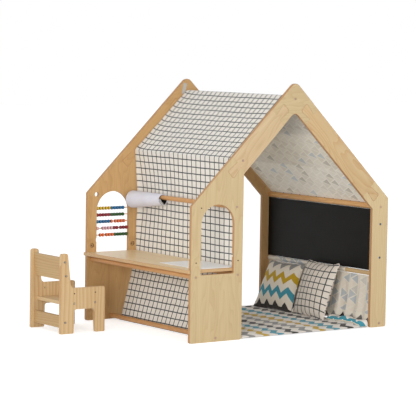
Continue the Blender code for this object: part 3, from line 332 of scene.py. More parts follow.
BIRCH = species((208, 186, 144), (178, 146, 102), figure=0.26, streaks=0.42, rings=0.034, sway=0.55)
PINE = species((216, 190, 146), (194, 150, 102), figure=0.70, streaks=0.45, rings=0.022, sway=0.05)
DOWEL = species((214, 164, 110), (176, 122, 76), figure=0.30, streaks=0.60, rings=0.011, sway=0.20)
# painted shade: the left gable lies in the house's shade, so it gets this darker, warmer copy of the birch
SHADED_BIRCH = toned(BIRCH, (207, 168, 116), (174, 128, 76))
# painted shade: a darker copy of the pine, with its own figure and rings, for the chair's pieces that face -Y
SHADED_PINE = toned(PINE, (201, 171, 124), (172, 130, 80), figure=0.50, rings=0.013)
DESK_BIRCH = toned(BIRCH, (244, 220, 176), (216, 180, 130))
BIRCH_RIM = rim_tones((206, 164, 116), (158, 112, 72), (176, 128, 84))
DESK_RIM = rim_tones((222, 188, 138), (178, 138, 92), (196, 156, 108))
BOARD_TONES = {
    "right_back_post": toned(BIRCH, (219, 196, 152), (190, 156, 110)),
    "right_back_rafter": toned(BIRCH, (212, 186, 142), (188, 142, 92), figure=0.44),
    "right_front_rafter": toned(BIRCH, (212, 188, 150), (184, 148, 104), figure=0.32),
}
RAIL_TONES = {
    "skirt_rail": toned(DOWEL, (226, 198, 150), (196, 156, 108)),
    "eave_rail": toned(DOWEL, (234, 184, 124), (196, 138, 86)),
}
print("tones for", len(BOARD_TONES) + len(RAIL_TONES), "pieces of their own")

# %% [markdown]
# A wooden finish lays the grain in a board's own direction and shifts it, so that each board comes from
# another place in the log. Plywood gets its layers and its rubbed rims on top. A faint bump follows the
# fibres, and a thin coat of lacquer can lie over it all.


# %% Wood finishes
def wood(name, along, across, through, shift, tone, edges=None, roughness=0.5, coat=0.0):
    """A wooden finish: the grain's way, across it, through the board, and its place in the log."""
    finish, tree, shader = new_finish(name, roughness, Coat_Weight=coat, Coat_Roughness=0.25,
                                      Specular_IOR_Level=0.35)
    where = put(tree, "ShaderNodeTexCoord").outputs
    basis = Matrix((Vector(along).normalized(), Vector(across).normalized(), Vector(through).normalized()))
    laid = put(tree, "ShaderNodeMapping", None, Vector=where["Object"], Location=shift,
               Rotation=tuple(basis.to_euler("XYZ"))).outputs[0]
    wooden = use(tree, grain, Vector=laid, Pale=tone["pale"], Dark=tone["dark"], Figure=tone["figure"],
                 Streaks=tone["streaks"], Ring_Width=tone["rings"], Sway=tone["sway"])
    colour = wooden["Color"]
    if edges:
        layer_tones, worn = edges
        depth = put(tree, "ShaderNodeSeparateXYZ", None, Vector=laid).outputs[2]
        facing = put(tree, "ShaderNodeVectorMath", {"operation": "DOT_PRODUCT"}, i0=where["Normal"],
                     i1=tuple(through)).outputs["Value"]
        layered = use(tree, layers, Color=colour, Depth=depth, Facing=facing, **layer_tones)
        colour = use(tree, rubbed, Color=layered["Color"], Worn=worn)["Color"]
    tree.links.new(colour, shader["Base Color"])
    tree.links.new(sums(tree, "ADD", wooden["Roughness"], roughness - 0.5), shader["Roughness"])
    bump = put(tree, "ShaderNodeBump", None, Strength=0.10, Distance=0.0006, Height=wooden["Height"])
    tree.links.new(bump.outputs[0], shader["Normal"])
    return finish


print("wood finishes ready")

# %% [markdown]
# ## From the CAD model to finished pieces
# A CAD solid comes as loose triangles. They are merged and its flat faces joined up again, which gives a
# clean mesh to work on. A finished piece then gets its material and its smooth faces, rides on its body,
# and hides the CAD node that it stands for.


# %% Meshes and pieces
def merged_copy(node):
    """A CAD node's mesh as one clean solid: triangles merged and flat faces joined."""
    solid = bmesh.new()
    solid.from_mesh(NODES[node].data)
    bmesh.ops.remove_doubles(solid, verts=solid.verts, dist=0.00001)
    bmesh.ops.dissolve_limit(solid, angle_limit=math.radians(0.6), verts=solid.verts, edges=solid.edges)
    return solid


def closed_mesh(name, verts, faces):
    """A mesh from points and faces, with all its faces turned outwards."""
    mesh = bpy.data.meshes.new(name)
    mesh.from_pydata(verts, [], faces)
    made = bmesh.new()
    made.from_mesh(mesh)
    bmesh.ops.recalc_face_normals(made, faces=made.faces)
    made.to_mesh(mesh)
    made.free()
    return mesh


def evaluated_mesh(thing):
    """What a thing's modifiers make of it, as a plain mesh."""
    bpy.context.view_layer.update()
    return bpy.data.meshes.new_from_object(thing.evaluated_get(bpy.context.evaluated_depsgraph_get()))


def to_piece(solid, name, finish, replaced=(), body="house", smooth=40):
    """Turns a bmesh into a finished piece that rides on its body and stands for its CAD nodes."""
    mesh = bpy.data.meshes.new(name)
    solid.to_mesh(mesh)
    solid.free()
    return finish_piece(mesh, name, finish, replaced, body, smooth)


def finish_piece(mesh, name, finish, replaced=(), body="house", smooth=40):
    """A mesh as a finished piece with a material, smooth faces and sharp corners."""
    thing = bpy.data.objects.new(name, mesh)
    scene.collection.objects.link(thing)
    mesh.materials.clear()
    mesh.materials.append(finish)
    mesh.polygons.foreach_set("use_smooth", [True] * len(mesh.polygons))
    if smooth < 180:
        mesh.set_sharp_from_angle(angle=math.radians(smooth))
    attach(thing, body)
    if replaced:
        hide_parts(*replaced)
    return thing


print("CAD nodes", len(NODES))

# %% [markdown]
# ## Boards with eased edges
# The CAD boards have sharp edges, and real plywood is rounded over with a router: about 2 mm where a hand
# meets it, and hardly at all where two pieces fit together, which leaves a thin dark line. So the rims of
# each board get a bevel of the right size. The bevel's faces are marked, because the rubbed edge is darker
# than the face.


# %% Board maker
def neighbours_of(nodes):
    """A search tree over the surfaces of other pieces."""
    everything = bmesh.new()
    for node in nodes:
        everything.from_mesh(NODES[node].data)
    found = BVHTree.FromBMesh(everything)
    everything.free()
    return found


def eased_board(node, finish, through, round_over=0.0022, ease=0.0007, fits=(), body="house"):
    """A board with rounded rims. Rims that meet one of the fits pieces are only just eased."""
    solid = merged_copy(node)
    near = neighbours_of(fits) if fits else None
    open_rims, fitted_rims = [], []
    for edge in solid.edges:
        if len(edge.link_faces) != 2 or edge.calc_face_angle_signed(0) < math.radians(30):
            continue
        broad = [face for face in edge.link_faces if abs(face.normal.dot(through)) > 0.9]
        if len(broad) != 1:
            continue
        middle = (edge.verts[0].co + edge.verts[1].co) / 2
        hit = near.find_nearest(middle, 0.0012) if near else None
        (fitted_rims if hit and hit[0] else open_rims).append(edge)
    plain = set(solid.faces)
    rounded_off = bmesh.ops.bevel(solid, geom=open_rims, offset=round_over, offset_type="OFFSET", segments=3,
                                  profile=0.5, affect="EDGES", clamp_overlap=True)["faces"]
    fitted_rims = [edge for edge in fitted_rims if edge.is_valid]
    eased = bmesh.ops.bevel(solid, geom=fitted_rims, offset=ease, offset_type="OFFSET", segments=1,
                            profile=0.5, affect="EDGES", clamp_overlap=True)["faces"] if fitted_rims else []
    mark = solid.loops.layers.float.new("rubbed")
    for face in [f for f in list(rounded_off) + list(eased) if f.is_valid]:
        for loop in face.loops:
            loop[mark] = 1.0
    piece = to_piece(solid, node + "_board", finish, [node], body)
    crisp = piece.modifiers.new("flat_faces", "WEIGHTED_NORMAL")
    crisp.keep_sharp = True
    print(node, "open rims", len(open_rims), "fitted rims", len(fitted_rims), "faces",
          len(piece.data.polygons))
    return piece


print("board maker ready")

# %% [markdown]
# ## The two gables
# Each gable is five pieces of plywood with dovetail tongues. The veneer of the crown runs across, the
# rafters' runs down the slope and the uprights' runs up, so each piece has its own grain direction.

# %% Gables
EAVE, RIDGE, HALF_WIDTH = 0.700, 1.334, 0.652
slope = math.atan2(RIDGE - EAVE, HALF_WIDTH)
front_down = Vector((0, -math.cos(slope), -math.sin(slope)))
back_down = Vector((0, math.cos(slope), -math.sin(slope)))
GRAIN = {"gable_crown": Y, "front_rafter": front_down, "back_rafter": back_down, "front_panel": Z,
         "back_post": Z}
for side, sign in (("left", -1), ("right", 1)):
    names = [f"{side}_{part}" for part in GRAIN]
    for number, (node, along) in enumerate(zip(names, GRAIN.values())):
        shift = (0.37 * number + 0.9 * sign, 0.21 * number - 0.3 * sign, 0)
        # the left gable's darker copy of the birch is painted shade
        tone = BOARD_TONES.get(node, BIRCH if side == "right" else SHADED_BIRCH)
        birch = wood(f"birch_{node}", along, along.cross(X), X, shift, tone, BIRCH_RIM)
        eased_board(node, birch, X, fits=[name for name in names if name != node])

# %% [markdown]
# ## Rails, desk, boards and chair
# The rails are turned beech dowels, so a merged copy with smooth faces is all they need. Their grain runs
# along them, and each one is cut from another place in the log.

# %% Rails
RAILS = ["ridge_rail", "roof_bend_rail", "eave_rail", "paper_rod", "desk_front_rail", "desk_back_rail",
         "front_foot_rail", "back_foot_rail", "skirt_rail"]
ABACUS_RODS = [f"abacus_rod_{number}" for number in range(1, 6)]
for number, node in enumerate(RAILS):
    shift = (0.4 * number, 0.13 * number, 0.07 * number)
    dowel = wood(f"dowel_{node}", X, Y, Z, shift, RAIL_TONES.get(node, DOWEL))
    to_piece(merged_copy(node), node + "_dowel", dowel, [node])
for number, node in enumerate(ABACUS_RODS, 1):
    thin_dowel = wood(f"dowel_{node}", Y, X, Z, (0.3 * number, 0.1, 0), DOWEL)
    to_piece(merged_copy(node), node + "_dowel", thin_dowel, [node])
print("rails", len(RAILS) + len(ABACUS_RODS))

# %% [markdown]
# The desk board is the same plywood lying down, lacquered to a soft gloss. The drawing board on it is a
# thin sheet with a white wipe-clean face, so it is nearly flat in colour and shinier.

# %% Desk and drawing board
desk_birch = wood("birch_desk", X, Y, Z, (0.3, 0.4, 0), DESK_BIRCH, DESK_RIM, roughness=0.42, coat=0.25)
eased_board("desk_top", desk_birch, Z, round_over=0.0030)
white_paint, tree, shader = new_finish("white_laminate", 0.32, Specular_IOR_Level=0.5)
speckled(tree, shader, object_place(tree), 60.0, (253, 253, 253), (247, 247, 247))
eased_board("drawing_board", white_paint, Z, round_over=0.0006)

# %% [markdown]
# The chalkboard is painted with a matt black that has fine grit in it. A cloth has wiped it in slanting
# strokes and left a trace of chalk, which is paler and a little rougher.

# %% Chalkboard
slate, tree, shader = new_finish("chalkboard_paint", 0.62, Specular_IOR_Level=0.16)
where = object_place(tree)
wiped = put(tree, "ShaderNodeMapping", None, Vector=where, Scale=(3.0, 3.0, 9.0),
            Rotation=(0, 0.35, 0)).outputs[0]
smear = put(tree, "ShaderNodeTexNoise", None, Vector=wiped, Scale=2.2, Detail=5.0, Roughness=0.65).outputs[0]
dust = ranged(tree, smear, From_Min=0.45, From_Max=0.85, To_Max=0.5)
grit = put(tree, "ShaderNodeTexNoise", None, Vector=where, Scale=900.0, Detail=1.0).outputs[0]
tree.links.new(blend_colours(tree, dust, srgb(13, 12, 10), srgb(25, 24, 21)), shader["Base Color"])
tree.links.new(sums(tree, "MULTIPLY_ADD", dust, 0.25, 0.50), shader["Roughness"])
tree.links.new(put(tree, "ShaderNodeBump", None, Strength=0.15, Distance=0.0003, Height=grit).outputs[0],
               shader["Normal"])
eased_board("chalkboard", slate, Y, round_over=0.0015)

# %% [markdown]
# The toddler's chair is solid pine: two sides with leg arches, a seat, a backrest and a stretcher. Its
# sides' grain stands up and the other parts' runs across. The backrest and the stretcher face -Y, which lies
# in shade, so they get a darker copy of the pine: a painted shade.

# %% Chair
CHAIR_GRAIN = {
    "chair_left_side": (Z, X, PINE), "chair_right_side": (Z, X, PINE), "chair_seat": (X, Z, PINE),
    # the darker pine of the backrest and stretcher is painted shade on their -Y faces
    "chair_backrest": (X, Y, SHADED_PINE), "chair_stretcher": (X, Y, SHADED_PINE),
}
for number, (node, (along, through, tone)) in enumerate(CHAIR_GRAIN.items()):
    shift = (0.23 * number, 0.31 * number, 0.05 * number)
    pine = wood(f"pine_{node}", along, through.cross(along), through, shift, tone)
    eased_board(node, pine, through, round_over=0.0030, ease=0.0010,
                fits=[name for name in CHAIR_GRAIN if name != node])

# %% [markdown]
# ## Bolts
# Each rail, the chalkboard and the chair are held by button-head bolts, whose heads show on the outside as
# small domes with a six-sided recess. They are plated with zinc, which is grey and finely scuffed. They are
# all alike, so one head is made, as rings of points joined from the rim up to the recess and down into it.

# %% One bolt head
BOLT_HEAD_RADIUS, BOLT_HEAD_HEIGHT, RECESS_RADIUS, HEAD_SIDES = 0.0064, 0.0029, 0.0027, 18
HEAD_PROFILE_SHARES = [(1.0, 0.0), (0.96, 0.45), (0.80, 0.80), (0.55, 0.97), (0.44, 1.0)]


def plated_steel(name, bright, dull, metallic):
    """Zinc-plated steel with fine scuffs."""
    finish, tree, shader = new_finish(name, 0.32, Metallic=metallic)
    scuff = put(tree, "ShaderNodeTexNoise", None, Vector=object_place(tree), Scale=700.0,
                Detail=3.0).outputs[0]
    tree.links.new(blend_colours(tree, scuff, srgb(*bright), srgb(*dull)), shader["Base Color"])
    tree.links.new(sums(tree, "MULTIPLY_ADD", scuff, 0.2, 0.22), shader["Roughness"])
    return finish


def bolt_head_mesh():
    """A button head on the XY plane that points up +Z, with a hexagonal recess."""
    solid = bmesh.new()
    turns = [2 * math.pi * side / HEAD_SIDES for side in range(HEAD_SIDES)]
    rings = [[solid.verts.new((BOLT_HEAD_RADIUS * wide * math.cos(turn),
                               BOLT_HEAD_RADIUS * wide * math.sin(turn), BOLT_HEAD_HEIGHT * high))
              for turn in turns] for wide, high in HEAD_PROFILE_SHARES]
    floor_ring = []
    for turn in turns:
        flat = math.cos(math.pi / 6) / math.cos((turn % (math.pi / 3)) - math.pi / 6)
        floor_ring.append(solid.verts.new((RECESS_RADIUS * flat * math.cos(turn),
                                           RECESS_RADIUS * flat * math.sin(turn), BOLT_HEAD_HEIGHT * 0.35)))
    rings.append(floor_ring)
    for low, high in zip(rings, rings[1:]):
        for side in range(HEAD_SIDES):
            after = (side + 1) % HEAD_SIDES
            solid.faces.new((low[side], low[after], high[after], high[side]))
    solid.faces.new(floor_ring)
    solid.faces.new(rings[0][::-1])
    mesh = bpy.data.meshes.new("bolt_head")
    solid.to_mesh(mesh)
    solid.free()
    return mesh


steel = plated_steel("bolt_steel", (132, 152, 176), (104, 122, 146), 0.15)
dark_steel = plated_steel("chair_bolt_steel", (92, 114, 138), (66, 84, 104), 0.55)
print("bolt head", len(bolt_head_mesh().polygons), "faces")

# %% [markdown]
# Geometry Nodes set a copy of one small pattern on each place and turn it to face outwards. Every such tree
# ends the same way: the copies are realised into one plain mesh, which gets its material.


# %% Setting copies on places
def nodes_tree(name, inputs):
    """An empty Geometry Nodes tree with a geometry in and out, and named inputs for its sizes."""
    tree = bpy.data.node_groups.new(name, "GeometryNodeTree")
    tree.interface.new_socket("Geometry", in_out="INPUT", socket_type="NodeSocketGeometry")
    tree.interface.new_socket("Geometry", in_out="OUTPUT", socket_type="NodeSocketGeometry")
    for title, kind in inputs:
        tree.interface.new_socket(title, in_out="INPUT", socket_type="NodeSocket" + kind)
    return tree, tree.nodes.new("NodeGroupInput").outputs, tree.nodes.new("NodeGroupOutput").inputs


def finish_tree(tree, made, given, result):
    """Every tree ends the same way: real geometry in place of instances, with its material."""
    real = put(tree, "GeometryNodeRealizeInstances", None, Geometry=made).outputs[0]
    painted = put(tree, "GeometryNodeSetMaterial", None, Geometry=real, Material=given["Finish"]).outputs[0]
    tree.links.new(painted, result["Geometry"])


def grown(tree, seed_mesh, name, **values):
    """Runs a tree on a mesh with the given inputs and returns the result as a plain mesh."""
    helper = bpy.data.objects.new(name + "_helper", seed_mesh)
    scene.collection.objects.link(helper)
    modifier = helper.modifiers.new("grow", "NODES")
    modifier.node_group = tree
    for item in tree.interface.items_tree:
        key = item.name.replace(" ", "_")
        if item.in_out == "INPUT" and key in values:
            modifier[item.identifier] = values[key]
    helper.update_tag()
    mesh = evaluated_mesh(helper)
    helper.modifiers.clear()
    bpy.data.objects.remove(helper)
    mesh.name = name
    return mesh


bolting, given, result = nodes_tree("bolts_on_places", [("Head", "Object"), ("Finish", "Material")])
outward = put(bolting, "GeometryNodeInputNamedAttribute", {"data_type": "FLOAT_VECTOR"},
              Name="outward").outputs[0]
turned = put(bolting, "FunctionNodeAlignRotationToVector", {"axis": "Z"}, Vector=outward).outputs[0]
head = put(bolting, "GeometryNodeObjectInfo", None, Object=given["Head"]).outputs["Geometry"]
set_out = put(bolting, "GeometryNodeInstanceOnPoints", None, Points=given["Geometry"], Instance=head,
              Rotation=turned).outputs[0]
finish_tree(bolting, set_out, given, result)


def set_bolts(name, places, pattern_mesh=bolt_head_mesh, finish=steel):
    """Copies of a small pattern at (point, outward direction) places, as one piece."""
    dots = bpy.data.meshes.new(name + "_places")
    dots.from_pydata([point for point, _ in places], [], [])
    facing = dots.attributes.new("outward", "FLOAT_VECTOR", "POINT")
    facing.data.foreach_set("vector", np.array([way for _, way in places], np.float32).ravel())
    pattern = bpy.data.objects.new("bolt_pattern", pattern_mesh())
    scene.collection.objects.link(pattern)
    mesh = grown(bolting, dots, name, Head=pattern, Finish=finish)
    bpy.data.objects.remove(pattern)
    print(name, len(places), "copies,", len(mesh.polygons), "faces")
    return finish_piece(mesh, name, finish, smooth=50)


print("bolt tree", len(bolting.nodes), "nodes")

# %% [markdown]
# The places of the bolts are the rails' own centres in the side view, on the outer face of both gables. The
# chair's are counted from its back, and two of them are set off from the middle of the tilted backrest.

# %% Bolts of the house and of the chair
HALF_LENGTH, PLY, BOLT_PROUD = 0.500, 0.018, 0.0002
RIDGE_RAIL, BEND_RAIL, EAVE_RAIL, PAPER_ROD = (0, 1.2415), (-0.335, 0.926), (0.599, 0.655), (-0.3675, 0.688)
DESK_FRONT_RAIL, DESK_BACK_RAIL = (-0.6205, 0.338), (-0.356, 0.338)
FRONT_FOOT_RAIL, BACK_FOOT_RAIL = (-0.492, 0.0195), (0.605, 0.021)
BOARD_BOLTS = [(0.599, 0.561), (0.599, 0.379)]
CHAIR_LEFT, CHAIR_RIGHT, CHAIR_BACK = -0.415, -0.100, -1.051
SEAT_BOLTS_Y, SEAT_BOLTS_Z, STRETCHER_BOLT = (0.082, 0.211), 0.157, (0.028, 0.060)
BACKREST_TURN, BACKREST_BOLT_STEP = 0.123, 0.0365
rail_places = [RIDGE_RAIL, BEND_RAIL, PAPER_ROD, DESK_FRONT_RAIL, DESK_BACK_RAIL, FRONT_FOOT_RAIL, EAVE_RAIL,
               BACK_FOOT_RAIL, *BOARD_BOLTS]
set_bolts("house_bolt_heads", [((sign * (HALF_LENGTH + BOLT_PROUD), y, z), (sign, 0, 0))
                               for y, z in rail_places for sign in (-1, 1)])
chair_places = [(CHAIR_BACK + y, SEAT_BOLTS_Z) for y in SEAT_BOLTS_Y]
chair_places.append((CHAIR_BACK + STRETCHER_BOLT[0], STRETCHER_BOLT[1]))
backrest_low, backrest_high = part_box("chair_backrest")
middle = (backrest_low + backrest_high) / 2
for step in (-BACKREST_BOLT_STEP, BACKREST_BOLT_STEP):
    chair_places.append((middle.y - step * math.sin(BACKREST_TURN),
                         middle.z + step * math.cos(BACKREST_TURN)))
set_bolts("chair_bolt_heads", [((x, y, z), (way, 0, 0)) for y, z in chair_places
                               for x, way in ((CHAIR_LEFT - BOLT_PROUD, -1), (CHAIR_RIGHT + BOLT_PROUD, 1))],
          finish=dark_steel)

# %% [markdown]
# ## Beads
# The beads are turned from wood. A string of one colour is the same bead repeated along a rod, so the tree
# makes one bead from a short line whose radius follows a rule, and repeats it at the bead's own length. How
# far a point is from its bead's middle is kept in an attribute, for the painted shade at the tips.

# %% The bead tree
BEAD_LENGTH, BEAD_RADIUS, BEAD_TIP, BEAD_STATIONS, BEAD_SIDES = 0.0182, 0.0102, 0.0022, 11, 18
threading, given, result = nodes_tree("bead_string", [
    ("Count", "Int"), ("Start", "Vector"), ("Length", "Float"), ("Radius", "Float"), ("Tip", "Float"),
    ("Finish", "Material")])
end = put(threading, "ShaderNodeCombineXYZ", None, Y=given["Length"]).outputs[0]
axis = put(threading, "GeometryNodeCurvePrimitiveLine", None, End=end).outputs[0]
axis = put(threading, "GeometryNodeResampleCurve", None, Curve=axis, Count=BEAD_STATIONS).outputs[0]
along = put(threading, "GeometryNodeSplineParameter").outputs["Factor"]
from_middle = sums(threading, "ABSOLUTE", sums(threading, "MULTIPLY_ADD", along, 2.0, -1.0))
squared = sums(threading, "POWER", from_middle, 2.0)
full = sums(threading, "SQRT", sums(threading, "SUBTRACT", 1.0001, squared))
swell = sums(threading, "SUBTRACT", given["Radius"], given["Tip"])
wide = sums(threading, "MULTIPLY_ADD", full, swell, given["Tip"])
axis = put(threading, "GeometryNodeStoreNamedAttribute", {"data_type": "FLOAT", "domain": "POINT"},
           Geometry=axis, Name="from_middle", Value=from_middle).outputs[0]
ring = put(threading, "GeometryNodeCurvePrimitiveCircle", None, Resolution=BEAD_SIDES, Radius=1.0).outputs[0]
bead = put(threading, "GeometryNodeCurveToMesh", None, Curve=axis, Profile_Curve=ring, Scale=wide,
           Fill_Caps=True).outputs[0]
line = put(threading, "GeometryNodeMeshLine", None, Count=given["Count"], Start_Location=given["Start"],
           Offset=end).outputs[0]
strung = put(threading, "GeometryNodeInstanceOnPoints", None, Points=line, Instance=bead).outputs[0]
finish_tree(threading, strung, given, result)
print("bead tree", len(threading.nodes), "nodes")

# %% [markdown]
# A bead is dipped in gloss paint, and where two beads meet hardly any light gets in. So the colour goes
# dark towards the tips: a painted shade. Each string stands for its CAD solid and rides on that solid's
# body, so it slides as it does there.

# %% Bead strings
BEAD_COLOURS = {"yellow": (232, 190, 30), "blue": (0, 116, 174), "red": (158, 6, 40), "green": (24, 92, 0),
                "orange": (255, 118, 50), "pink": (246, 192, 200)}


def gloss_paint(word, colour):
    """Dipped gloss paint, with painted shade towards the bead's tips, where beads meet."""
    finish, tree, shader = new_finish(f"{word}_gloss_paint", 0.22, Coat_Weight=0.2, Coat_Roughness=0.08)
    flow = put(tree, "ShaderNodeTexNoise", None, Vector=object_place(tree), Scale=180.0,
               Detail=2.0).outputs[0]
    paint = blend_colours(tree, flow, colour, darker(colour, 0.80))
    reach = put(tree, "ShaderNodeAttribute", {"attribute_name": "from_middle"}).outputs["Fac"]
    # painted shade: the colour goes nearly black towards the tips, where two beads meet and little light gets
    # in
    tip_shade = ranged(tree, reach, From_Min=0.48, From_Max=0.78)
    tree.links.new(blend_colours(tree, tip_shade, paint, darker(colour, 0.08)), shader["Base Color"])
    tree.links.new(sums(tree, "MULTIPLY_ADD", flow, 0.12, 0.18), shader["Roughness"])
    return finish


bead_finishes = {word: gloss_paint(word, srgb(*colour)) for word, colour in BEAD_COLOURS.items()}
bodies = frame["record"]["behaviour"]["bodies"]
body_of_node = {node: body for body, nodes in bodies.items() for node in nodes}
for node in [name for name in sorted(NODES) if name.endswith("_beads")]:
    word = node.split("_")[1]
    low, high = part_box(node)
    count = round((high.y - low.y) / BEAD_LENGTH)
    middle = (low + high) / 2
    seed = bpy.data.meshes.new("empty")
    mesh = grown(threading, seed, node + "_string", Count=count, Start=(middle.x, low.y, middle.z),
                 Length=BEAD_LENGTH, Radius=BEAD_RADIUS, Tip=BEAD_TIP, Finish=bead_finishes[word])
    finish_piece(mesh, node + "_string", bead_finishes[word], [node],
                 body_of_node[node], smooth=60)
    print(node, count, "beads on", body_of_node[node])

# %% [markdown]
# ## Cloth prints
# Three printed cottons dress the house: an off-white check, zigzag bands, and scattered triangles. A print
# belongs to the cloth and has to follow its folds, so each sheet carries an attribute that holds where each
# point lay on the flat cloth, in metres, and the print groups read it. The weave is a group of its own.

# %% The weave
weave, given, result = group("weave", [("Vector", "Vector", None), ("Thread", "Float", 0.0009)],
                             [("Height", "Float"), ("Slub", "Float")])
split = put(weave, "ShaderNodeSeparateXYZ", None, Vector=given["Vector"]).outputs
warp, weft = [sums(weave, "SINE", sums(weave, "DIVIDE", sums(weave, "MULTIPLY", split[way], math.pi),
                                       given["Thread"])) for way in (0, 1)]
weave.links.new(sums(weave, "MULTIPLY_ADD", sums(weave, "MULTIPLY", warp, weft), 0.5, 0.5), result["Height"])


def slubs(scale):
    """Threads that are here and there thicker, drawn out one way."""
    laid = put(weave, "ShaderNodeMapping", None, Vector=given["Vector"], Scale=scale).outputs[0]
    return put(weave, "ShaderNodeTexNoise", None, Vector=laid, Scale=1.0, Detail=1.0).outputs[0]


both = sums(weave, "ADD", slubs((420.0, 14.0, 1.0)), slubs((14.0, 420.0, 1.0)))
weave.links.new(sums(weave, "MULTIPLY", both, 0.5), result["Slub"])
print("weave", len(weave.nodes), "nodes")

# %% [markdown]
# Each takes the flat place, folds it into one repeat, and asks whether the point is in the ink. The zigzag
# also gives each band its turn in the four colours.

# %% Check and zigzag
check, given, result = group(
    "check_print", [("Vector", "Vector", None), ("Across", "Float", 0.0416), ("Along", "Float", 0.0360),
                    ("Line", "Float", 0.0056), ("Fine Share", "Float", 1.10)], [("Lines", "Float")])
split = put(check, "ShaderNodeSeparateXYZ", None, Vector=given["Vector"]).outputs
half_line = sums(check, "MULTIPLY", given["Line"], 0.5)
from_warp = sums(check, "PINGPONG", split[0], sums(check, "MULTIPLY", given["Across"], 0.5))
from_weft = sums(check, "PINGPONG", split[1], sums(check, "MULTIPLY", given["Along"], 0.5))
in_warp = sums(check, "LESS_THAN", from_warp, sums(check, "MULTIPLY", half_line, given["Fine Share"]))
in_weft = sums(check, "LESS_THAN", from_weft, half_line)
check.links.new(sums(check, "MAXIMUM", in_warp, in_weft), result["Lines"])

zigzag, given, result = group(
    "zigzag_print", [("Vector", "Vector", None), ("Wave Length", "Float", 0.0775), ("Pitch", "Float", 0.0945),
                     ("Rise", "Float", 0.050), ("Width", "Float", 0.036)],
    [("Band", "Float"), ("Turn", "Float")])
split = put(zigzag, "ShaderNodeSeparateXYZ", None, Vector=given["Vector"]).outputs
half_wave = sums(zigzag, "MULTIPLY", given["Wave Length"], 0.5)
bent = sums(zigzag, "DIVIDE", sums(zigzag, "PINGPONG", split[0], half_wave), half_wave)
height = sums(zigzag, "ADD", split[1], sums(zigzag, "MULTIPLY", bent, given["Rise"]))
number = sums(zigzag, "DIVIDE", height, given["Pitch"])
inside = sums(zigzag, "MULTIPLY", sums(zigzag, "FRACT", number), given["Pitch"])
zigzag.links.new(sums(zigzag, "LESS_THAN", inside, given["Width"]), result["Band"])
quarter = sums(zigzag, "FRACT", sums(zigzag, "DIVIDE", sums(zigzag, "FLOOR", number), 4.0))
zigzag.links.new(sums(zigzag, "ADD", quarter, 0.125), result["Turn"])
print("check and zigzag", len(check.nodes) + len(zigzag.nodes), "nodes")

# %% [markdown]
# The third print is rows of triangles with their points upwards. A point is in its cell's triangle when it
# is nearer to the cell's middle line than the room left at that height. A number drawn by chance for each
# cell picks the triangle's tone.

# %% Triangles
ACROSS_TRIANGLE, ALONG_TRIANGLE = 0.0560, 0.0717
triangles, given, result = group(
    "triangle_print", [("Vector", "Vector", None), ("Across", "Float", ACROSS_TRIANGLE),
                       ("Along", "Float", ALONG_TRIANGLE), ("Seed", "Float", 0.0),
                       ("Half Width", "Float", 0.62)],
    [("Shape", "Float"), ("Chance", "Float"), ("Row", "Float")])
split = put(triangles, "ShaderNodeSeparateXYZ", None, Vector=given["Vector"]).outputs
along = sums(triangles, "DIVIDE", split[1], given["Along"])
row = sums(triangles, "FLOOR", along)
across = sums(triangles, "DIVIDE", split[0], given["Across"])
rise = sums(triangles, "FRACT", along)
aside = sums(triangles, "ABSOLUTE", sums(triangles, "SUBTRACT", sums(triangles, "FRACT", across), 0.5))
room = sums(triangles, "MULTIPLY", sums(triangles, "SUBTRACT", 0.80, rise), given["Half Width"])
above = sums(triangles, "GREATER_THAN", rise, 0.06)
shape = sums(triangles, "MULTIPLY", sums(triangles, "LESS_THAN", aside, room), above)
cell = put(triangles, "ShaderNodeCombineXYZ", None, X=sums(triangles, "FLOOR", across), Y=row,
           Z=given["Seed"]).outputs[0]
chance = put(triangles, "ShaderNodeTexWhiteNoise", {"noise_dimensions": "3D"}, Vector=cell).outputs["Value"]
triangles.links.new(shape, result["Shape"])
triangles.links.new(chance, result["Chance"])
triangles.links.new(row, result["Row"])
print("triangles", len(triangles.nodes), "nodes")

# %% [markdown]
# Plain cotton has a soft sheen, threads that catch the light and slubs that shade it. Its print never runs
# quite straight, because the cloth was pulled a little when it was printed, so the flat place wanders by
# about 2 mm. A cloth with the light behind it also glows.

# %% Woven cotton
RIPPLE = 0.0048


def steps_of_colour(tree, factor, colours):
    """A colour ramp with hard steps: equal shares of the range, one colour each."""
    ramp = put(tree, "ShaderNodeValToRGB", None, Fac=factor)
    ramp.color_ramp.interpolation = "CONSTANT"
    spots = ramp.color_ramp.elements
    spots[0].color = colours[0]
    for number, colour in enumerate(colours[1:], 1):
        spots.new(number / len(colours)).color = colour
    spots.remove(spots[-1])
    return ramp.outputs[0]


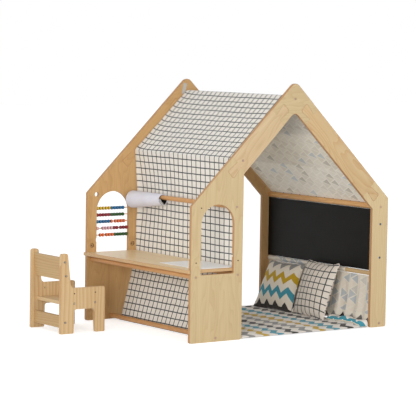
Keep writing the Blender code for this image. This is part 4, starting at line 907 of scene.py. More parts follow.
def cotton(name, ground, shift, turn=0.0, light_through=0.0):
    """Plain woven cotton: its tree, shader, the flat place of each point, and its ground colour."""
    finish, tree, shader = new_finish(name, 0.88, Sheen_Weight=0.15, Sheen_Roughness=0.5,
                                      Specular_IOR_Level=0.15, Subsurface_Weight=light_through,
                                      Subsurface_Scale=0.004)
    shader["Subsurface Radius"].default_value = (1, 1, 1)
    flat = put(tree, "ShaderNodeAttribute", {"attribute_name": "cloth_at"}).outputs["Vector"]
    wander = put(tree, "ShaderNodeTexNoise", None, Vector=flat, Scale=7.0, Detail=1.0).outputs["Color"]
    centred = put(tree, "ShaderNodeVectorMath", {"operation": "SUBTRACT"}, i0=wander, i1=(0.5, 0.5, 0.5))
    moved = put(tree, "ShaderNodeVectorMath", {"operation": "SCALE"}, i0=centred.outputs[0], Scale=RIPPLE)
    bent = put(tree, "ShaderNodeVectorMath", {"operation": "ADD"}, i0=flat, i1=moved.outputs[0]).outputs[0]
    placed = put(tree, "ShaderNodeMapping", None, Vector=bent, Location=shift,
                 Rotation=(0, 0, turn)).outputs[0]
    threads = use(tree, weave, Vector=flat)
    shade = sums(tree, "MULTIPLY_ADD", threads["Slub"], 0.5, -0.10)
    cloth = blend_colours(tree, shade, ground, darker(ground, 0.82))
    bump = put(tree, "ShaderNodeBump", None, Strength=0.25, Distance=0.0003, Height=threads["Height"])
    tree.links.new(bump.outputs[0], shader["Normal"])
    return finish, tree, shader, placed, cloth


print("threads wander", RIPPLE * 1000 / 2, "mm")

# %% [markdown]
# Each printed finish lays its print over the woven ground. The zigzag can have plain filled ends, as a
# pillow's print runs out there. The triangles are printed twice, the second time turned round and in pale
# tones only, so they stand close together. Their lowest row is dark, and where the cloth is doubled less
# light comes through.

# %% Cloth finishes
OFF_WHITE, INK = srgb(236, 230, 220), srgb(66, 70, 70)
CHARCOAL, TEAL, MUSTARD, GREY = srgb(62, 58, 54), srgb(72, 150, 168), srgb(196, 160, 42), srgb(150, 148, 145)
NAVY, BLACK, IN_SHADE = srgb(34, 74, 96), srgb(34, 33, 32), srgb(96, 84, 66)
DARK_ROW_ACROSS, DARK_ROW_ALONG, DOUBLED_EDGE, FADE_FROM, FADE_TO = 0.0750, 0.046, 0.006, 0.45, 0.90


def checked(name, ground, shift, line=0.0056, along=0.0360, light_through=0.0):
    """Off-white cotton with the check."""
    finish, tree, shader, placed, cloth = cotton(name, ground, shift, light_through=light_through)
    lines = use(tree, check, Vector=placed, Line=line, Along=along)["Lines"]
    tree.links.new(blend_colours(tree, lines, cloth, INK), shader["Base Color"])
    return finish


def zigzagged(name, ground, shift, pitch, rise, width, wave_length, filled=()):
    """Cotton with the zigzag. filled gives the plain lower and upper end: where it starts, and its colour."""
    finish, tree, shader, placed, cloth = cotton(name, ground, shift)
    print_on = use(tree, zigzag, Vector=placed, Pitch=pitch, Rise=rise, Width=width, Wave_Length=wave_length)
    bands = steps_of_colour(tree, print_on["Turn"], [CHARCOAL, TEAL, MUSTARD, GREY])
    colour = blend_colours(tree, print_on["Band"], cloth, bands)
    for compared, (level, tint) in zip(("LESS_THAN", "GREATER_THAN"), filled):
        up = put(tree, "ShaderNodeSeparateXYZ", None, Vector=placed).outputs[1]
        colour = blend_colours(tree, sums(tree, compared, up, level), colour, tint)
    tree.links.new(colour, shader["Base Color"])
    return finish


def triangled(name, ground, shift, colours, seed, dark_row, light_through=0.0, doubled_from=None):
    """Cotton with the triangles, each row's points to the left, and one dark row at its lower edge."""
    finish, tree, shader, placed, cloth = cotton(name, ground, shift, -math.pi / 2, light_through)
    turned_round = put(tree, "ShaderNodeMapping", None, Vector=placed, Location=(ACROSS_TRIANGLE / 2, 0, 0),
                       Rotation=(0, 0, math.pi)).outputs[0]
    colour = cloth
    for number, (vector, tones) in enumerate(((placed, colours), (turned_round, colours[:3]))):
        print_on = use(tree, triangles, Vector=vector, Across=ACROSS_TRIANGLE, Seed=seed + 7 * number)
        tint = steps_of_colour(tree, print_on["Chance"], tones)
        colour = blend_colours(tree, print_on["Shape"], colour, tint)
    flat = put(tree, "ShaderNodeAttribute", {"attribute_name": "cloth_at"}).outputs["Vector"]
    low = use(tree, triangles, Vector=flat, Across=DARK_ROW_ACROSS, Along=DARK_ROW_ALONG, Seed=seed + 3,
              Half_Width=0.60)
    bottom = sums(tree, "LESS_THAN", sums(tree, "ABSOLUTE", low["Row"]), 0.5)
    below = sums(tree, "MULTIPLY", bottom, low["Shape"])
    plain = blend_colours(tree, bottom, colour, cloth)
    colour = blend_colours(tree, below, plain, steps_of_colour(tree, low["Chance"], dark_row))
    # painted shade: from the ridge down to doubled_from the colour is drawn towards IN_SHADE, less towards
    # the right, for the light the doubled cloth holds back
    if doubled_from:
        split = put(tree, "ShaderNodeSeparateXYZ", None, Vector=flat).outputs
        doubled = ranged(tree, split[1], From_Min=doubled_from - DOUBLED_EDGE,
                         From_Max=doubled_from + DOUBLED_EDGE, To_Max=0.19)
        fades = ranged(tree, split[0], From_Min=FADE_FROM, From_Max=FADE_TO, To_Min=1.0, To_Max=0.30)
        colour = blend_colours(tree, sums(tree, "MULTIPLY", doubled, fades), colour, IN_SHADE)
    tree.links.new(colour, shader["Base Color"])
    return finish


print("cloth finishes ready")

# %% [markdown]
# ## Cloth that runs over rails
# A cloth that is pulled over rails runs like a belt: straight between them and round a part of each. Its
# path is found in the side view from the rails' centres, exactly as the CAD solid's was. It is then split
# finely, and each point gets its slack, from 0 at a rail to 1 halfway between two, because a cloth can only
# sag where it is free.

# %% The path of a pulled cloth
FREE_RUN = 0.08


def belt(stops, arc_step):
    """Path in the side view, tangent from stop to stop. A stop is (y, z, radius, side)."""
    tangents = []
    for (y1, z1, r1, s1), (y2, z2, r2, s2) in zip(stops, stops[1:]):
        run = Vector((y2 - y1, z2 - z1))
        distance = run.length
        run.normalize()
        lean = (s1 * r1 - s2 * r2) / distance
        normal = run * lean + Vector((-run.y, run.x)) * math.sqrt(max(0, 1 - lean * lean))
        tangents.append((Vector((y1, z1)) + normal * (s1 * r1), Vector((y2, z2)) + normal * (s2 * r2)))
    points = [tangents[0][0]]
    for (_, arrive), (leave, _), (y, z, radius, _) in zip(tangents, tangents[1:], stops[1:-1]):
        first, last = arrive - Vector((y, z)), leave - Vector((y, z))
        turn = math.atan2(first.x * last.y - first.y * last.x, first.dot(last))
        count = max(1, round(abs(turn) / arc_step))
        for step in range(count + 1):
            angle = turn * step / count
            points.append(Vector((y + first.x * math.cos(angle) - first.y * math.sin(angle),
                                  z + first.x * math.sin(angle) + first.y * math.cos(angle))))
    points.append(tangents[-1][1])
    return points


def finely_split(path, longest):
    """The path with its straight runs split, and the slack of each point."""
    points, slack = [path[0]], [0]
    for before, after in zip(path, path[1:]):
        run = (after - before).length
        parts = max(1, round(run / longest))
        for step in range(1, parts + 1):
            points.append(before.lerp(after, step / parts))
            slack.append(math.sin(math.pi * step / parts) if run > FREE_RUN else 0)
    return points, slack


def soft(x, y, z, size, seed):
    """Smooth noise from -1 to 1 that keeps one sign over about size metres."""
    return noise.noise(Vector((x / size + seed, y / size, z / size)))


turned_once = belt([(0, 0, 0, 1), (1, 0, 0.1, 1), (1, -1, 0, 1)], 0.3)
print("a cloth pulled over one rail has", len(turned_once), "points")

# %% [markdown]
# A sheet is such a path swept across the house. Each cloth has its own rule that puts a point in its place,
# so it sags and folds where it is free. The point's place on the flat cloth is kept in the attribute that
# the prints read. Solidify gives the wall, because a cloth without thickness shows no edge.

# %% Sweeping a sheet
CLOTH, CLOTH_GAP, CLOTH_HALF = 0.0012, 0.0006, 0.477


def lay_flat(mesh, flats):
    """Keeps where each point of a mesh lies on the flat cloth."""
    lay = mesh.attributes.new("cloth_at", "FLOAT_VECTOR", "POINT")
    lay.data.foreach_set("vector", np.asarray(flats, np.float32).ravel())


def walled(thing, thickness):
    """Gives a sheet its thickness, half to each side."""
    wall = thing.modifiers.new("cloth_thickness", "SOLIDIFY")
    wall.thickness = thickness
    return wall


def swept_cloth(name, points, slack, columns, place, finish, node, drift=None):
    """A sheet swept across the house. place(point, share, slack, normal, run) gives each vertex."""
    run = [0.0]
    for before, after in zip(points, points[1:]):
        run.append(run[-1] + (after - before).length)
    verts, flats, faces = [], [], []
    for number, point in enumerate(points):
        ahead, behind = points[min(number + 1, len(points) - 1)], points[max(number - 1, 0)]
        way = (ahead - behind).normalized()
        for column in range(columns + 1):
            share = column / columns
            verts.append(place(point, share, slack[number], Vector((way.y, -way.x)), run[number]))
            pulled = drift(point, share) if drift else 0
            flats.append((share * 2 * CLOTH_HALF, run[number] + pulled, 0))
    width = columns + 1
    for number in range(len(points) - 1):
        for column in range(columns):
            corner = number * width + column
            faces.append((corner, corner + 1, corner + width + 1, corner + width))
    mesh = bpy.data.meshes.new(name)
    mesh.from_pydata(verts, [], faces)
    lay_flat(mesh, flats)
    thing = finish_piece(mesh, name, finish, [node], smooth=180)
    walled(thing, CLOTH).offset = 0
    print(name, len(verts), "points, cut", round(2 * CLOTH_HALF, 3), "x", round(run[-1], 3), "m")
    return thing, run[-1]


def relay(thing, top):
    """Turns a cloth's flat places upside down, so that they are counted up from its lower print row."""
    lay = thing.data.attributes["cloth_at"]
    flat = np.zeros(len(lay.data) * 3, np.float32)
    lay.data.foreach_get("vector", flat)
    flat[1::3] = top - flat[1::3]
    lay.data.foreach_set("vector", flat)


print("cloth is", CLOTH * 1000, "mm thick and", 2 * CLOTH_HALF, "m wide")

# %% [markdown]
# ## The check canopy
# One long piece of cloth: it starts on the back slope, goes over the ridge and down the front slope, round
# the bend rail, hangs behind the desk, passes the desk's back edge and rail, and ends on the foot rail. The
# paper roll pushes it back a little, so the push is worked out from the roll's cone and fades away around
# it.

# %% The canopy's path and the roll's push
OVER_RAIL, OVER_RIDGE = 0.0137, 0.0155
DESK_BACK, DESK_TOP, DESK_UNDER = -0.335, 0.375, 0.357
ROLL_START, ROLL_LENGTH, ROLL_LEFT_RADIUS, ROLL_RIGHT_RADIUS = -0.462, 0.289, 0.0485, 0.0310
ROLL_CLEAR, PUSHED_BELOW, PUSHED_ABOVE, PUSH_FADES_OVER = 0.004, 0.098, 0.027, 0.200
FLAP, CANOPY_STEP = 0.300, 0.008

back_run = Vector((EAVE_RAIL[0] - RIDGE_RAIL[0], EAVE_RAIL[1] - RIDGE_RAIL[1])).normalized()
off_slope = Vector((-back_run.y, back_run.x)) * (OVER_RIDGE + CLOTH_GAP)
flap_end = Vector(RIDGE_RAIL) + back_run * FLAP + off_slope
touch = CLOTH_GAP + CLOTH / 2
canopy_path = belt([
    (*flap_end, 0, -1), (*RIDGE_RAIL, OVER_RIDGE, -1), (*BEND_RAIL, OVER_RAIL, -1),
    (DESK_BACK, DESK_TOP, touch, 1), (DESK_BACK, DESK_UNDER, touch, 1), (*DESK_BACK_RAIL, OVER_RAIL, 1),
    (*FRONT_FOOT_RAIL, OVER_RAIL, 1),
    (FRONT_FOOT_RAIL[0], FRONT_FOOT_RAIL[1] - OVER_RAIL, 0, 1)], math.pi / 18)
canopy_points, canopy_slack = finely_split(canopy_path, CANOPY_STEP)


def roll_push(x, taut_y, z):
    """How far the paper roll pushes the cloth back."""
    past_end = x - ROLL_START
    share = min(1, max(0, past_end / ROLL_LENGTH))
    radius = ROLL_LEFT_RADIUS + (ROLL_RIGHT_RADIUS - ROLL_LEFT_RADIUS) * share
    push = max(0, radius + ROLL_CLEAR + PAPER_ROD[0] - taut_y)
    low, high = PAPER_ROD[1] - PUSHED_BELOW, PAPER_ROD[1] + PUSHED_ABOVE
    above, below = (BEND_RAIL[1] - z) / (BEND_RAIL[1] - high), (z - DESK_TOP) / (low - DESK_TOP)
    beyond = 1 - (past_end - ROLL_LENGTH) / PUSH_FADES_OVER
    return push * max(0, min(1, above, below)) * max(0, min(1, beyond))


most_push = roll_push(ROLL_START, DESK_BACK, PAPER_ROD[1] - PUSHED_BELOW / 2)
print("canopy path", len(canopy_points), "points, pushed back by", round(most_push * 1000, 1), "mm")

# %% [markdown]
# Three rules place the canopy's points. On the slope the cloth sags between the rails and has soft creases
# across it. Behind the desk it hangs in shallow vertical waves, and its left rim curls to the back. Under
# the desk it is pulled slanting to the foot rail, and its left foot is drawn in, which slants the lines of
# the print there.

# %% The canopy's folds
SLOPE_SAG, SLOPE_CREASE, SLOPE_FINE_CREASE, SLOPE_PULL = 0.0060, 0.0022, 0.0014, 0.0030
CREASE_SIZE, FINE_CREASE_SIZE, PULL_SIZE = 0.085, 0.045, 0.11
HANG_WAVE, HANG_FOLD, HANG_FINE_FOLD, HANG_OUT = 0.0026, 0.0024, 0.0012, 0.0020
WAVE_LENGTH, WAVE_DRIFT_SIZE, FOLD_SIZE, FINE_FOLD_SIZE = 0.19, 0.3, 0.060, 0.035
RIM_CURL, RIM_CURL_WIDTH, NEAR_ROLL = 0.020, 0.007, 0.006
LOW_FOLD, LOW_FINE_FOLD, LOW_FOLD_SIZE, LOW_FINE_FOLD_SIZE = 0.0050, 0.0030, 0.10, 0.05
LOW_OUT, LOW_IN_MOST, FOOT_DRAWN_IN, RAIL_RADIUS = 0.002, 0.004, 0.080, 0.0125
BACK_SLOPE_FROM = 0.02


def on_the_slope(x, y, z, share, slack, normal, run):
    held = min(1, 6 * (1 - abs(2 * share - 1)) + 0.35)
    sag = SLOPE_SAG * slack * (1 - abs(2 * share - 1) ** 3)
    crease = (SLOPE_CREASE * soft(x * 1.6 + run, run * 0.5, 0, CREASE_SIZE, 3.0)
              + SLOPE_FINE_CREASE * soft(x - run, run, 0, FINE_CREASE_SIZE, 9.0))
    pull = SLOPE_PULL * slack * soft(x * 0.4, run * 2.2, 0, PULL_SIZE, 5.0)
    move = sag + slack * held * crease + pull
    return x, y - normal.x * move, z - normal.y * move if normal.y > 0 else z - move


def behind_the_desk(x, y, z):
    hang = math.sin(math.pi * (z - DESK_TOP) / (BEND_RAIL[1] - DESK_TOP))
    folds = HANG_WAVE * math.sin(2 * math.pi * x / WAVE_LENGTH + 1.2 * soft(x, z, 0, WAVE_DRIFT_SIZE, 2.0))
    folds += (HANG_FOLD * soft(x, z * 0.35, 0, FOLD_SIZE, 7.0)
              + HANG_FINE_FOLD * soft(x * 1.3, z, 0, FINE_FOLD_SIZE, 4.0))
    pushed = roll_push(x, y, z)
    near_roll = min(1, pushed / NEAR_ROLL)
    folds = max(folds, 0) * near_roll + folds * (1 - near_roll)
    curled = RIM_CURL * math.exp(-(x + CLOTH_HALF) / RIM_CURL_WIDTH)
    return x, y + (folds + HANG_OUT - curled) * hang + pushed, z


def under_the_desk(x, y, z, slack):
    folds = LOW_FOLD * slack * soft(x * 0.9 + z * 0.8, z * 0.7, 0, LOW_FOLD_SIZE, 11.0)
    folds += LOW_FINE_FOLD * slack * soft(x * 1.2, z * 1.2, 0, LOW_FINE_FOLD_SIZE, 13.0)
    return x, y + max(folds, -LOW_IN_MOST) + LOW_OUT * slack, z


def canopy_place(point, share, slack, normal, run):
    y, z = point
    below_desk = DESK_BACK_RAIL[1] - RAIL_RADIUS
    taper = max(0, (below_desk - z) / below_desk) if y < 0 else 0
    x = -CLOTH_HALF + 2 * CLOTH_HALF * share + FOOT_DRAWN_IN * taper * (1 - share)
    if y > BACK_SLOPE_FROM:
        return x, y, z
    if z > BEND_RAIL[1] and y < 0:
        return on_the_slope(x, y, z, share, slack, normal, run)
    if DESK_TOP < z <= BEND_RAIL[1]:
        return behind_the_desk(x, y, z)
    return under_the_desk(x, y, z, slack)


deepest = HANG_WAVE + HANG_FOLD + HANG_FINE_FOLD
print("three rules for the canopy, the deepest fold", round(deepest * 1000, 1), "mm")

# %% [markdown]
# The left rim of the slope is pulled up towards the ridge, and the printed lines bend there. The form
# hardly changes, so only the flat places drift: the print slides on the cloth while the sheet stays where
# it is.

# %% The canopy
EDGE_PULL, EDGE_PULL_WIDTH, EDGE_PULL_FROM, EDGE_PULL_RUN = 0.016, 0.045, 0.01, 0.035


def edge_pull(point, share):
    """How far the flat place is drawn up towards the ridge, most at the left rim."""
    if point.x > BACK_SLOPE_FROM or point.y < BEND_RAIL[1] - EDGE_PULL_FROM:
        return 0
    near_bend = min(1, max(0, (point.y - BEND_RAIL[1] + EDGE_PULL_FROM) / EDGE_PULL_RUN))
    return EDGE_PULL * near_bend * math.exp(-share * 2 * CLOTH_HALF / EDGE_PULL_WIDTH)


check_cloth = checked("check_cotton", OFF_WHITE, (0.004, 0.010, 0), light_through=0.6)
canopy, canopy_length = swept_cloth("check_canopy_cloth", canopy_points, canopy_slack, 110, canopy_place,
                                    check_cloth, "check_canopy", drift=edge_pull)

# %% [markdown]
# ## The print cloth of the back slope
# This one is seen from inside the house, where the light comes through it, and its tones are painted paler
# than the skirt's for that light from behind. It lies under the check cloth's flap at the ridge, runs down
# the back slope, and is turned round the eave rail. Down to about two thirds of the slope the cloth is
# doubled, so less light comes through there: a painted shade, weaker towards the right. Subsurface light
# gives the glow from behind.

# %% Roof print cloth
HEM, AROUND_EAVE = 0.030, 0.015 + CLOTH_GAP + CLOTH / 2
ROOF_SAG, ROOF_FOLD, ROOF_FINE_FOLD, ROOF_FOLD_SIZE, ROOF_FINE_FOLD_SIZE = 0.0050, 0.0030, 0.0020, 0.10, 0.05
FLAP_PRESSES, PRINT_STEP = 0.10, 0.010
front_run = Vector((BEND_RAIL[0] - RIDGE_RAIL[0], BEND_RAIL[1] - RIDGE_RAIL[1])).normalized()
hem = Vector(RIDGE_RAIL) + front_run * HEM + Vector((front_run.y, -front_run.x)) * OVER_RAIL
print_path = belt([(*hem, 0, 1), (*RIDGE_RAIL, OVER_RAIL, 1), (*EAVE_RAIL, AROUND_EAVE, 1),
                   (EAVE_RAIL[0], EAVE_RAIL[1] - AROUND_EAVE, 0, 1)], math.pi / 18)
print_points, print_slack = finely_split(print_path, PRINT_STEP)


def roof_place(point, share, slack, normal, run):
    x = -CLOTH_HALF + 2 * CLOTH_HALF * share
    sag = slack * (ROOF_SAG + ROOF_FOLD * soft(x, run, 0, ROOF_FOLD_SIZE, 21.0)
                   + ROOF_FINE_FOLD * soft(x * 1.3, run * 0.6, 0, ROOF_FINE_FOLD_SIZE, 25.0))
    free = min(1, max(0, (point.x - BACK_SLOPE_FROM) / FLAP_PRESSES)) if point.x > 0 else 0
    return x, point.x - sag * free * 0.65, point.y - sag * free * 0.75


# painted light: these tones and the ground below are paler than the skirt's print, for the light that comes
# through from behind
BACKLIT_GREY, BACKLIT_BEIGE, BACKLIT_BLUE = srgb(228, 218, 202), srgb(236, 227, 211), srgb(206, 207, 206)
DOUBLED_RUN, TIPS_SHOW, DARK_TIP = 0.615, 0.013, 0.0368
slope_rows = [number for number, share in enumerate(print_slack) if share > 0]
slope_points = print_points[:slope_rows[-1] + 2]
slope_run = sum((after - before).length for before, after in zip(slope_points, slope_points[1:]))
print_offset = slope_run + DARK_TIP - TIPS_SHOW
print_cotton = triangled("triangle_cotton", srgb(248, 239, 224), (0.02, 0.01, 0),
                         [BACKLIT_BEIGE, BACKLIT_GREY, BACKLIT_BEIGE, BACKLIT_BLUE, BACKLIT_BEIGE, BACKLIT_GREY, BACKLIT_BEIGE,
                          srgb(202, 194, 180), BACKLIT_GREY, BACKLIT_BEIGE],
                         1.0, (GREY, BLACK, NAVY), light_through=0.8, doubled_from=print_offset - DOUBLED_RUN)
roof_cloth, roof_length = swept_cloth("roof_print_sheet", print_points, print_slack, 90, roof_place,
                                      print_cotton, "roof_print_cloth")
relay(roof_cloth, print_offset)

# %% [markdown]
# ## The gathered skirt
# Below the chalkboard hangs a short skirt of the same print. It is gathered at its rail, so its folds are
# shallow at the top and open out towards the mat. A cosine gives the even gathers, and noise makes each a
# little different. A simulation would do it too, but a rule keeps every fold off the rail and the mat.

# %% Skirt
BOARD_Y, SKIRT_TOP, SKIRT_BOTTOM, FOLDS, SKIRT_ROWS = 0.599, 0.2721, 0.0158, 11, 34
SKIRT_FOLD, SKIRT_SMALL_FOLD, SKIRT_SWING, SKIRT_BEHIND, SKIRT_FRONT = 0.0042, 0.0016, 0.033, 0.0008, 0.5480
SWELL_SIZE, SMALL_FOLD_SIZE, SHIFT_SIZE = 0.12, 0.022, 0.2
skirt_fall = SKIRT_TOP - SKIRT_BOTTOM
skirt_slack = [row / SKIRT_ROWS for row in range(SKIRT_ROWS + 1)]
skirt_points = [Vector((0, SKIRT_TOP - skirt_fall * row / SKIRT_ROWS)) for row in range(SKIRT_ROWS + 1)]


def skirt_place(point, share, fallen, normal, run):
    x = -CLOTH_HALF + 2 * CLOTH_HALF * share
    fold = SKIRT_FOLD * (0.15 + 0.85 * fallen) * (1 + 0.5 * soft(x, 0, 0, SWELL_SIZE, 31.0))
    small = SKIRT_SMALL_FOLD * soft(x, 0, point.y * 0.25, SMALL_FOLD_SIZE, 33.0)
    gather = math.cos(2 * math.pi * FOLDS * share + 0.5 * soft(x, 0, 0, SHIFT_SIZE, 35.0))
    y = BOARD_Y - SKIRT_SWING * fallen ** 2 + fold * gather
    return x, max(y - fold + small - SKIRT_BEHIND, SKIRT_FRONT), point.y


PALE_GREY, BLUE_GREY, BEIGE = srgb(212, 206, 196), srgb(192, 196, 198), srgb(232, 222, 207)
skirt_cotton = triangled("skirt_cotton", srgb(238, 230, 215), (0.03, 0.02, 0),
                         [BEIGE, BLUE_GREY, BEIGE, PALE_GREY, BEIGE, BEIGE, BLUE_GREY, BEIGE], 6.0,
                         (GREY, NAVY, srgb(110, 108, 106), BLACK))
skirt, skirt_drop = swept_cloth("skirt_sheet", skirt_points, skirt_slack, 330, skirt_place, skirt_cotton,
                                "skirt_cloth")
PRINT_FROM_HEM, GATHERED, TURNED_IN = 0.004, 1.06, 0.01
relay(skirt, skirt_drop - PRINT_FROM_HEM)

# %% [markdown]
# The skirt's sleeve is a tube of the same cloth on the rail. It ends before the right gable, where the bare
# rail shows. Its wall swells a little here and there, as cloth on a rod does.

# %% Skirt sleeve
SLEEVE_LEFT, SLEEVE_RIGHT, SLEEVE_HEIGHT, SLEEVE_RADIUS, SLEEVE_SWELL = -0.477, 0.225, 0.287, 0.0137, 0.0003
SLEEVE_SIDES, SLEEVE_STATIONS, SLEEVE_PRINT_FROM, SLEEVE_GIRTH = 28, 90, 0.2, 2 * math.pi * 0.0145
sleeve_length = SLEEVE_RIGHT - SLEEVE_LEFT
sleeve_verts, sleeve_faces, sleeve_flats = [], [], []
for station in range(SLEEVE_STATIONS + 1):
    x = SLEEVE_LEFT + sleeve_length * station / SLEEVE_STATIONS
    for side in range(SLEEVE_SIDES):
        angle = 2 * math.pi * side / SLEEVE_SIDES
        swell = 1 + noise.noise(Vector((x * 60, 2 * math.cos(angle), 2 * math.sin(angle))))
        radius = SLEEVE_RADIUS + SLEEVE_SWELL * swell
        sleeve_verts.append((x, BOARD_Y + radius * math.cos(angle), SLEEVE_HEIGHT + radius * math.sin(angle)))
        sleeve_flats.append((x, SLEEVE_PRINT_FROM + radius * angle, 0))
for station in range(SLEEVE_STATIONS):
    for side in range(SLEEVE_SIDES):
        corner, after = station * SLEEVE_SIDES + side, station * SLEEVE_SIDES + (side + 1) % SLEEVE_SIDES
        sleeve_faces.append((corner, after, after + SLEEVE_SIDES, corner + SLEEVE_SIDES))
sleeve_mesh = bpy.data.meshes.new("skirt_sleeve_tube")
sleeve_mesh.from_pydata(sleeve_verts, [], sleeve_faces)
lay_flat(sleeve_mesh, sleeve_flats)
sleeve = finish_piece(sleeve_mesh, "skirt_sleeve_tube", skirt_cotton, ["skirt_sleeve"],
                      smooth=180)
walled(sleeve, CLOTH * 0.8)
print("sleeve", len(sleeve_faces), "faces")

# %% [markdown]
# ## Padded pieces
# A cushion gets its shape from two flat panels sewn round their rims and stuffed. The seam can't grow while
# the middle swells, so the fabric puckers near the seam and rounds out in between. A short cloth simulation
# with air pressure and no gravity does just that: the closed CAD form is remeshed evenly, shrunk a little,
# blown up for twenty frames, and no point may move further than a cap, which keeps it near the CAD form and
# off the floor.


# %% Even meshes
def even_mesh(node, voxel):
    """An even mesh over a CAD solid's merged copy, as a new object."""
    mesh = bpy.data.meshes.new(node + "_even")
    solid = merged_copy(node)
    solid.to_mesh(mesh)
    solid.free()
    thing = bpy.data.objects.new(node + "_even", mesh)
    scene.collection.objects.link(thing)
    remesh = thing.modifiers.new("even", "REMESH")
    remesh.mode = "VOXEL"
    remesh.voxel_size = voxel
    even = evaluated_mesh(thing)
    thing.modifiers.clear()
    thing.data = even
    return thing


def finer_mesh(thing):
    """The thing's mesh, subdivided once. The thing itself is removed."""
    smoother = thing.modifiers.new("finer", "SUBSURF")
    smoother.levels = 1
    smoother.render_levels = 1
    mesh = evaluated_mesh(thing)
    bpy.data.objects.remove(thing)
    return mesh


def mesh_rows(mesh, what="co"):
    """All points of a mesh, or their normals, as rows of numbers."""
    flat = np.empty(len(mesh.vertices) * 3, np.float32)
    mesh.vertices.foreach_get(what, flat)
    return flat.reshape(-1, 3).astype(float)


def set_points(mesh, points):
    mesh.vertices.foreach_set("co", np.asarray(points, np.float32).ravel())
    mesh.update()


print("CAD mat has", len(NODES["floor_mat"].data.vertices), "points before it is made even")

# %% [markdown]
# The simulation itself pins the seam, switches gravity off and lets the pressure do its work. Its result is
# kept only up to the cap, so no form can leave the space that the CAD model gives it.

# %% Pressure
SETTLE_FRAMES = 20


def blown_up(thing, pressure, cap, lowest, held):
    """Runs the pressure simulation and returns the new points, each moved by no more than the cap."""
    before = mesh_rows(thing.data)
    pins = thing.vertex_groups.new(name="held")
    for number in np.nonzero(held > 0.01)[0]:
        pins.add([int(number)], float(held[number]), "REPLACE")
    cloth = thing.modifiers.new("pressure", "CLOTH")
    cloth.settings.quality = 5
    cloth.settings.mass = 0.3
    cloth.settings.tension_stiffness = 12
    cloth.settings.compression_stiffness = 12
    cloth.settings.shear_stiffness = 4
    cloth.settings.bending_stiffness = 0.4
    cloth.settings.use_pressure = True
    cloth.settings.uniform_pressure_force = pressure
    cloth.settings.effector_weights.gravity = 0
    cloth.settings.vertex_group_mass = "held"
    cloth.collision_settings.use_self_collision = False
    cloth.point_cache.frame_start = 1
    cloth.point_cache.frame_end = SETTLE_FRAMES
    for frame_number in range(1, SETTLE_FRAMES + 1):
        scene.frame_set(frame_number)
    after = mesh_rows(evaluated_mesh(thing))
    thing.modifiers.clear()
    scene.frame_set(1)
    move = after - before
    far = np.linalg.norm(move, axis=1, keepdims=True)
    after = before + move * np.minimum(1, cap / np.maximum(far, 1e-9))
    after[:, 2] = np.maximum(after[:, 2], lowest)
    print(thing.name, "moved", round(float(far.mean()) * 1000, 1), "mm on average, most",
          round(float(far.max()) * 1000, 1), "mm")
    return after


print("soft forms settle in", SETTLE_FRAMES, "frames")

# %% [markdown]
# ## The two pillows
# Each pillow's print runs over its front, and the seam is where front and back meet, with their lines not
# quite matching, as on the real one. Its own upright frame is found from the CAD numbers: across, up the
# pillow, and through it.

# %% Pillow frames
MAT_TOP, PILLOW_THICKNESS = 0.0143, 0.100
PILLOWS = {
    "chevron_pillow": dict(size=(0.316, 0.283), lean=0.37, turn=0.02),
    "check_pillow": dict(size=(0.315, 0.315), lean=0.31, turn=-0.10),
}


def pillow_frame(node):
    """The matrix that takes a pillow's own frame (across, up, towards the front) into the house frame."""
    about = PILLOWS[node]
    turned = Matrix.Rotation(about["turn"], 4, "Z") @ Matrix.Rotation(math.pi / 2 - about["lean"], 4, "X")
    back_turned = np.array(turned.to_3x3().transposed())
    local = mesh_rows(NODES[node].data) @ back_turned.T
    centre_local = (local.min(axis=0) + local.max(axis=0)) / 2
    return Matrix.Translation(turned.to_3x3() @ Vector(centre_local)) @ turned


print("pillow centres", [tuple(round(v, 3) for v in pillow_frame(node).translation) for node in PILLOWS])

# %% [markdown]
# The simulation gives the pillow its fullness. The creases of use are smaller than it can show, so they are
# added as noise: puckers close to the seam, and broad dents over the faces. The corners stand out a little,
# because the stuffing never reaches them.

# %% Making a pillow
PILLOW_VOXEL, PILLOW_CAP, SEAM_HALF = 0.005, 0.012, 0.012
PUCKER, DENT, CORNER_OUT, BACK_SHIFT = 0.0032, 0.0042, 0.010, 0.0135


def noise_rows(rows):
    """Smooth noise at each row of three numbers."""
    return np.array([noise.noise(Vector(row)) for row in rows])


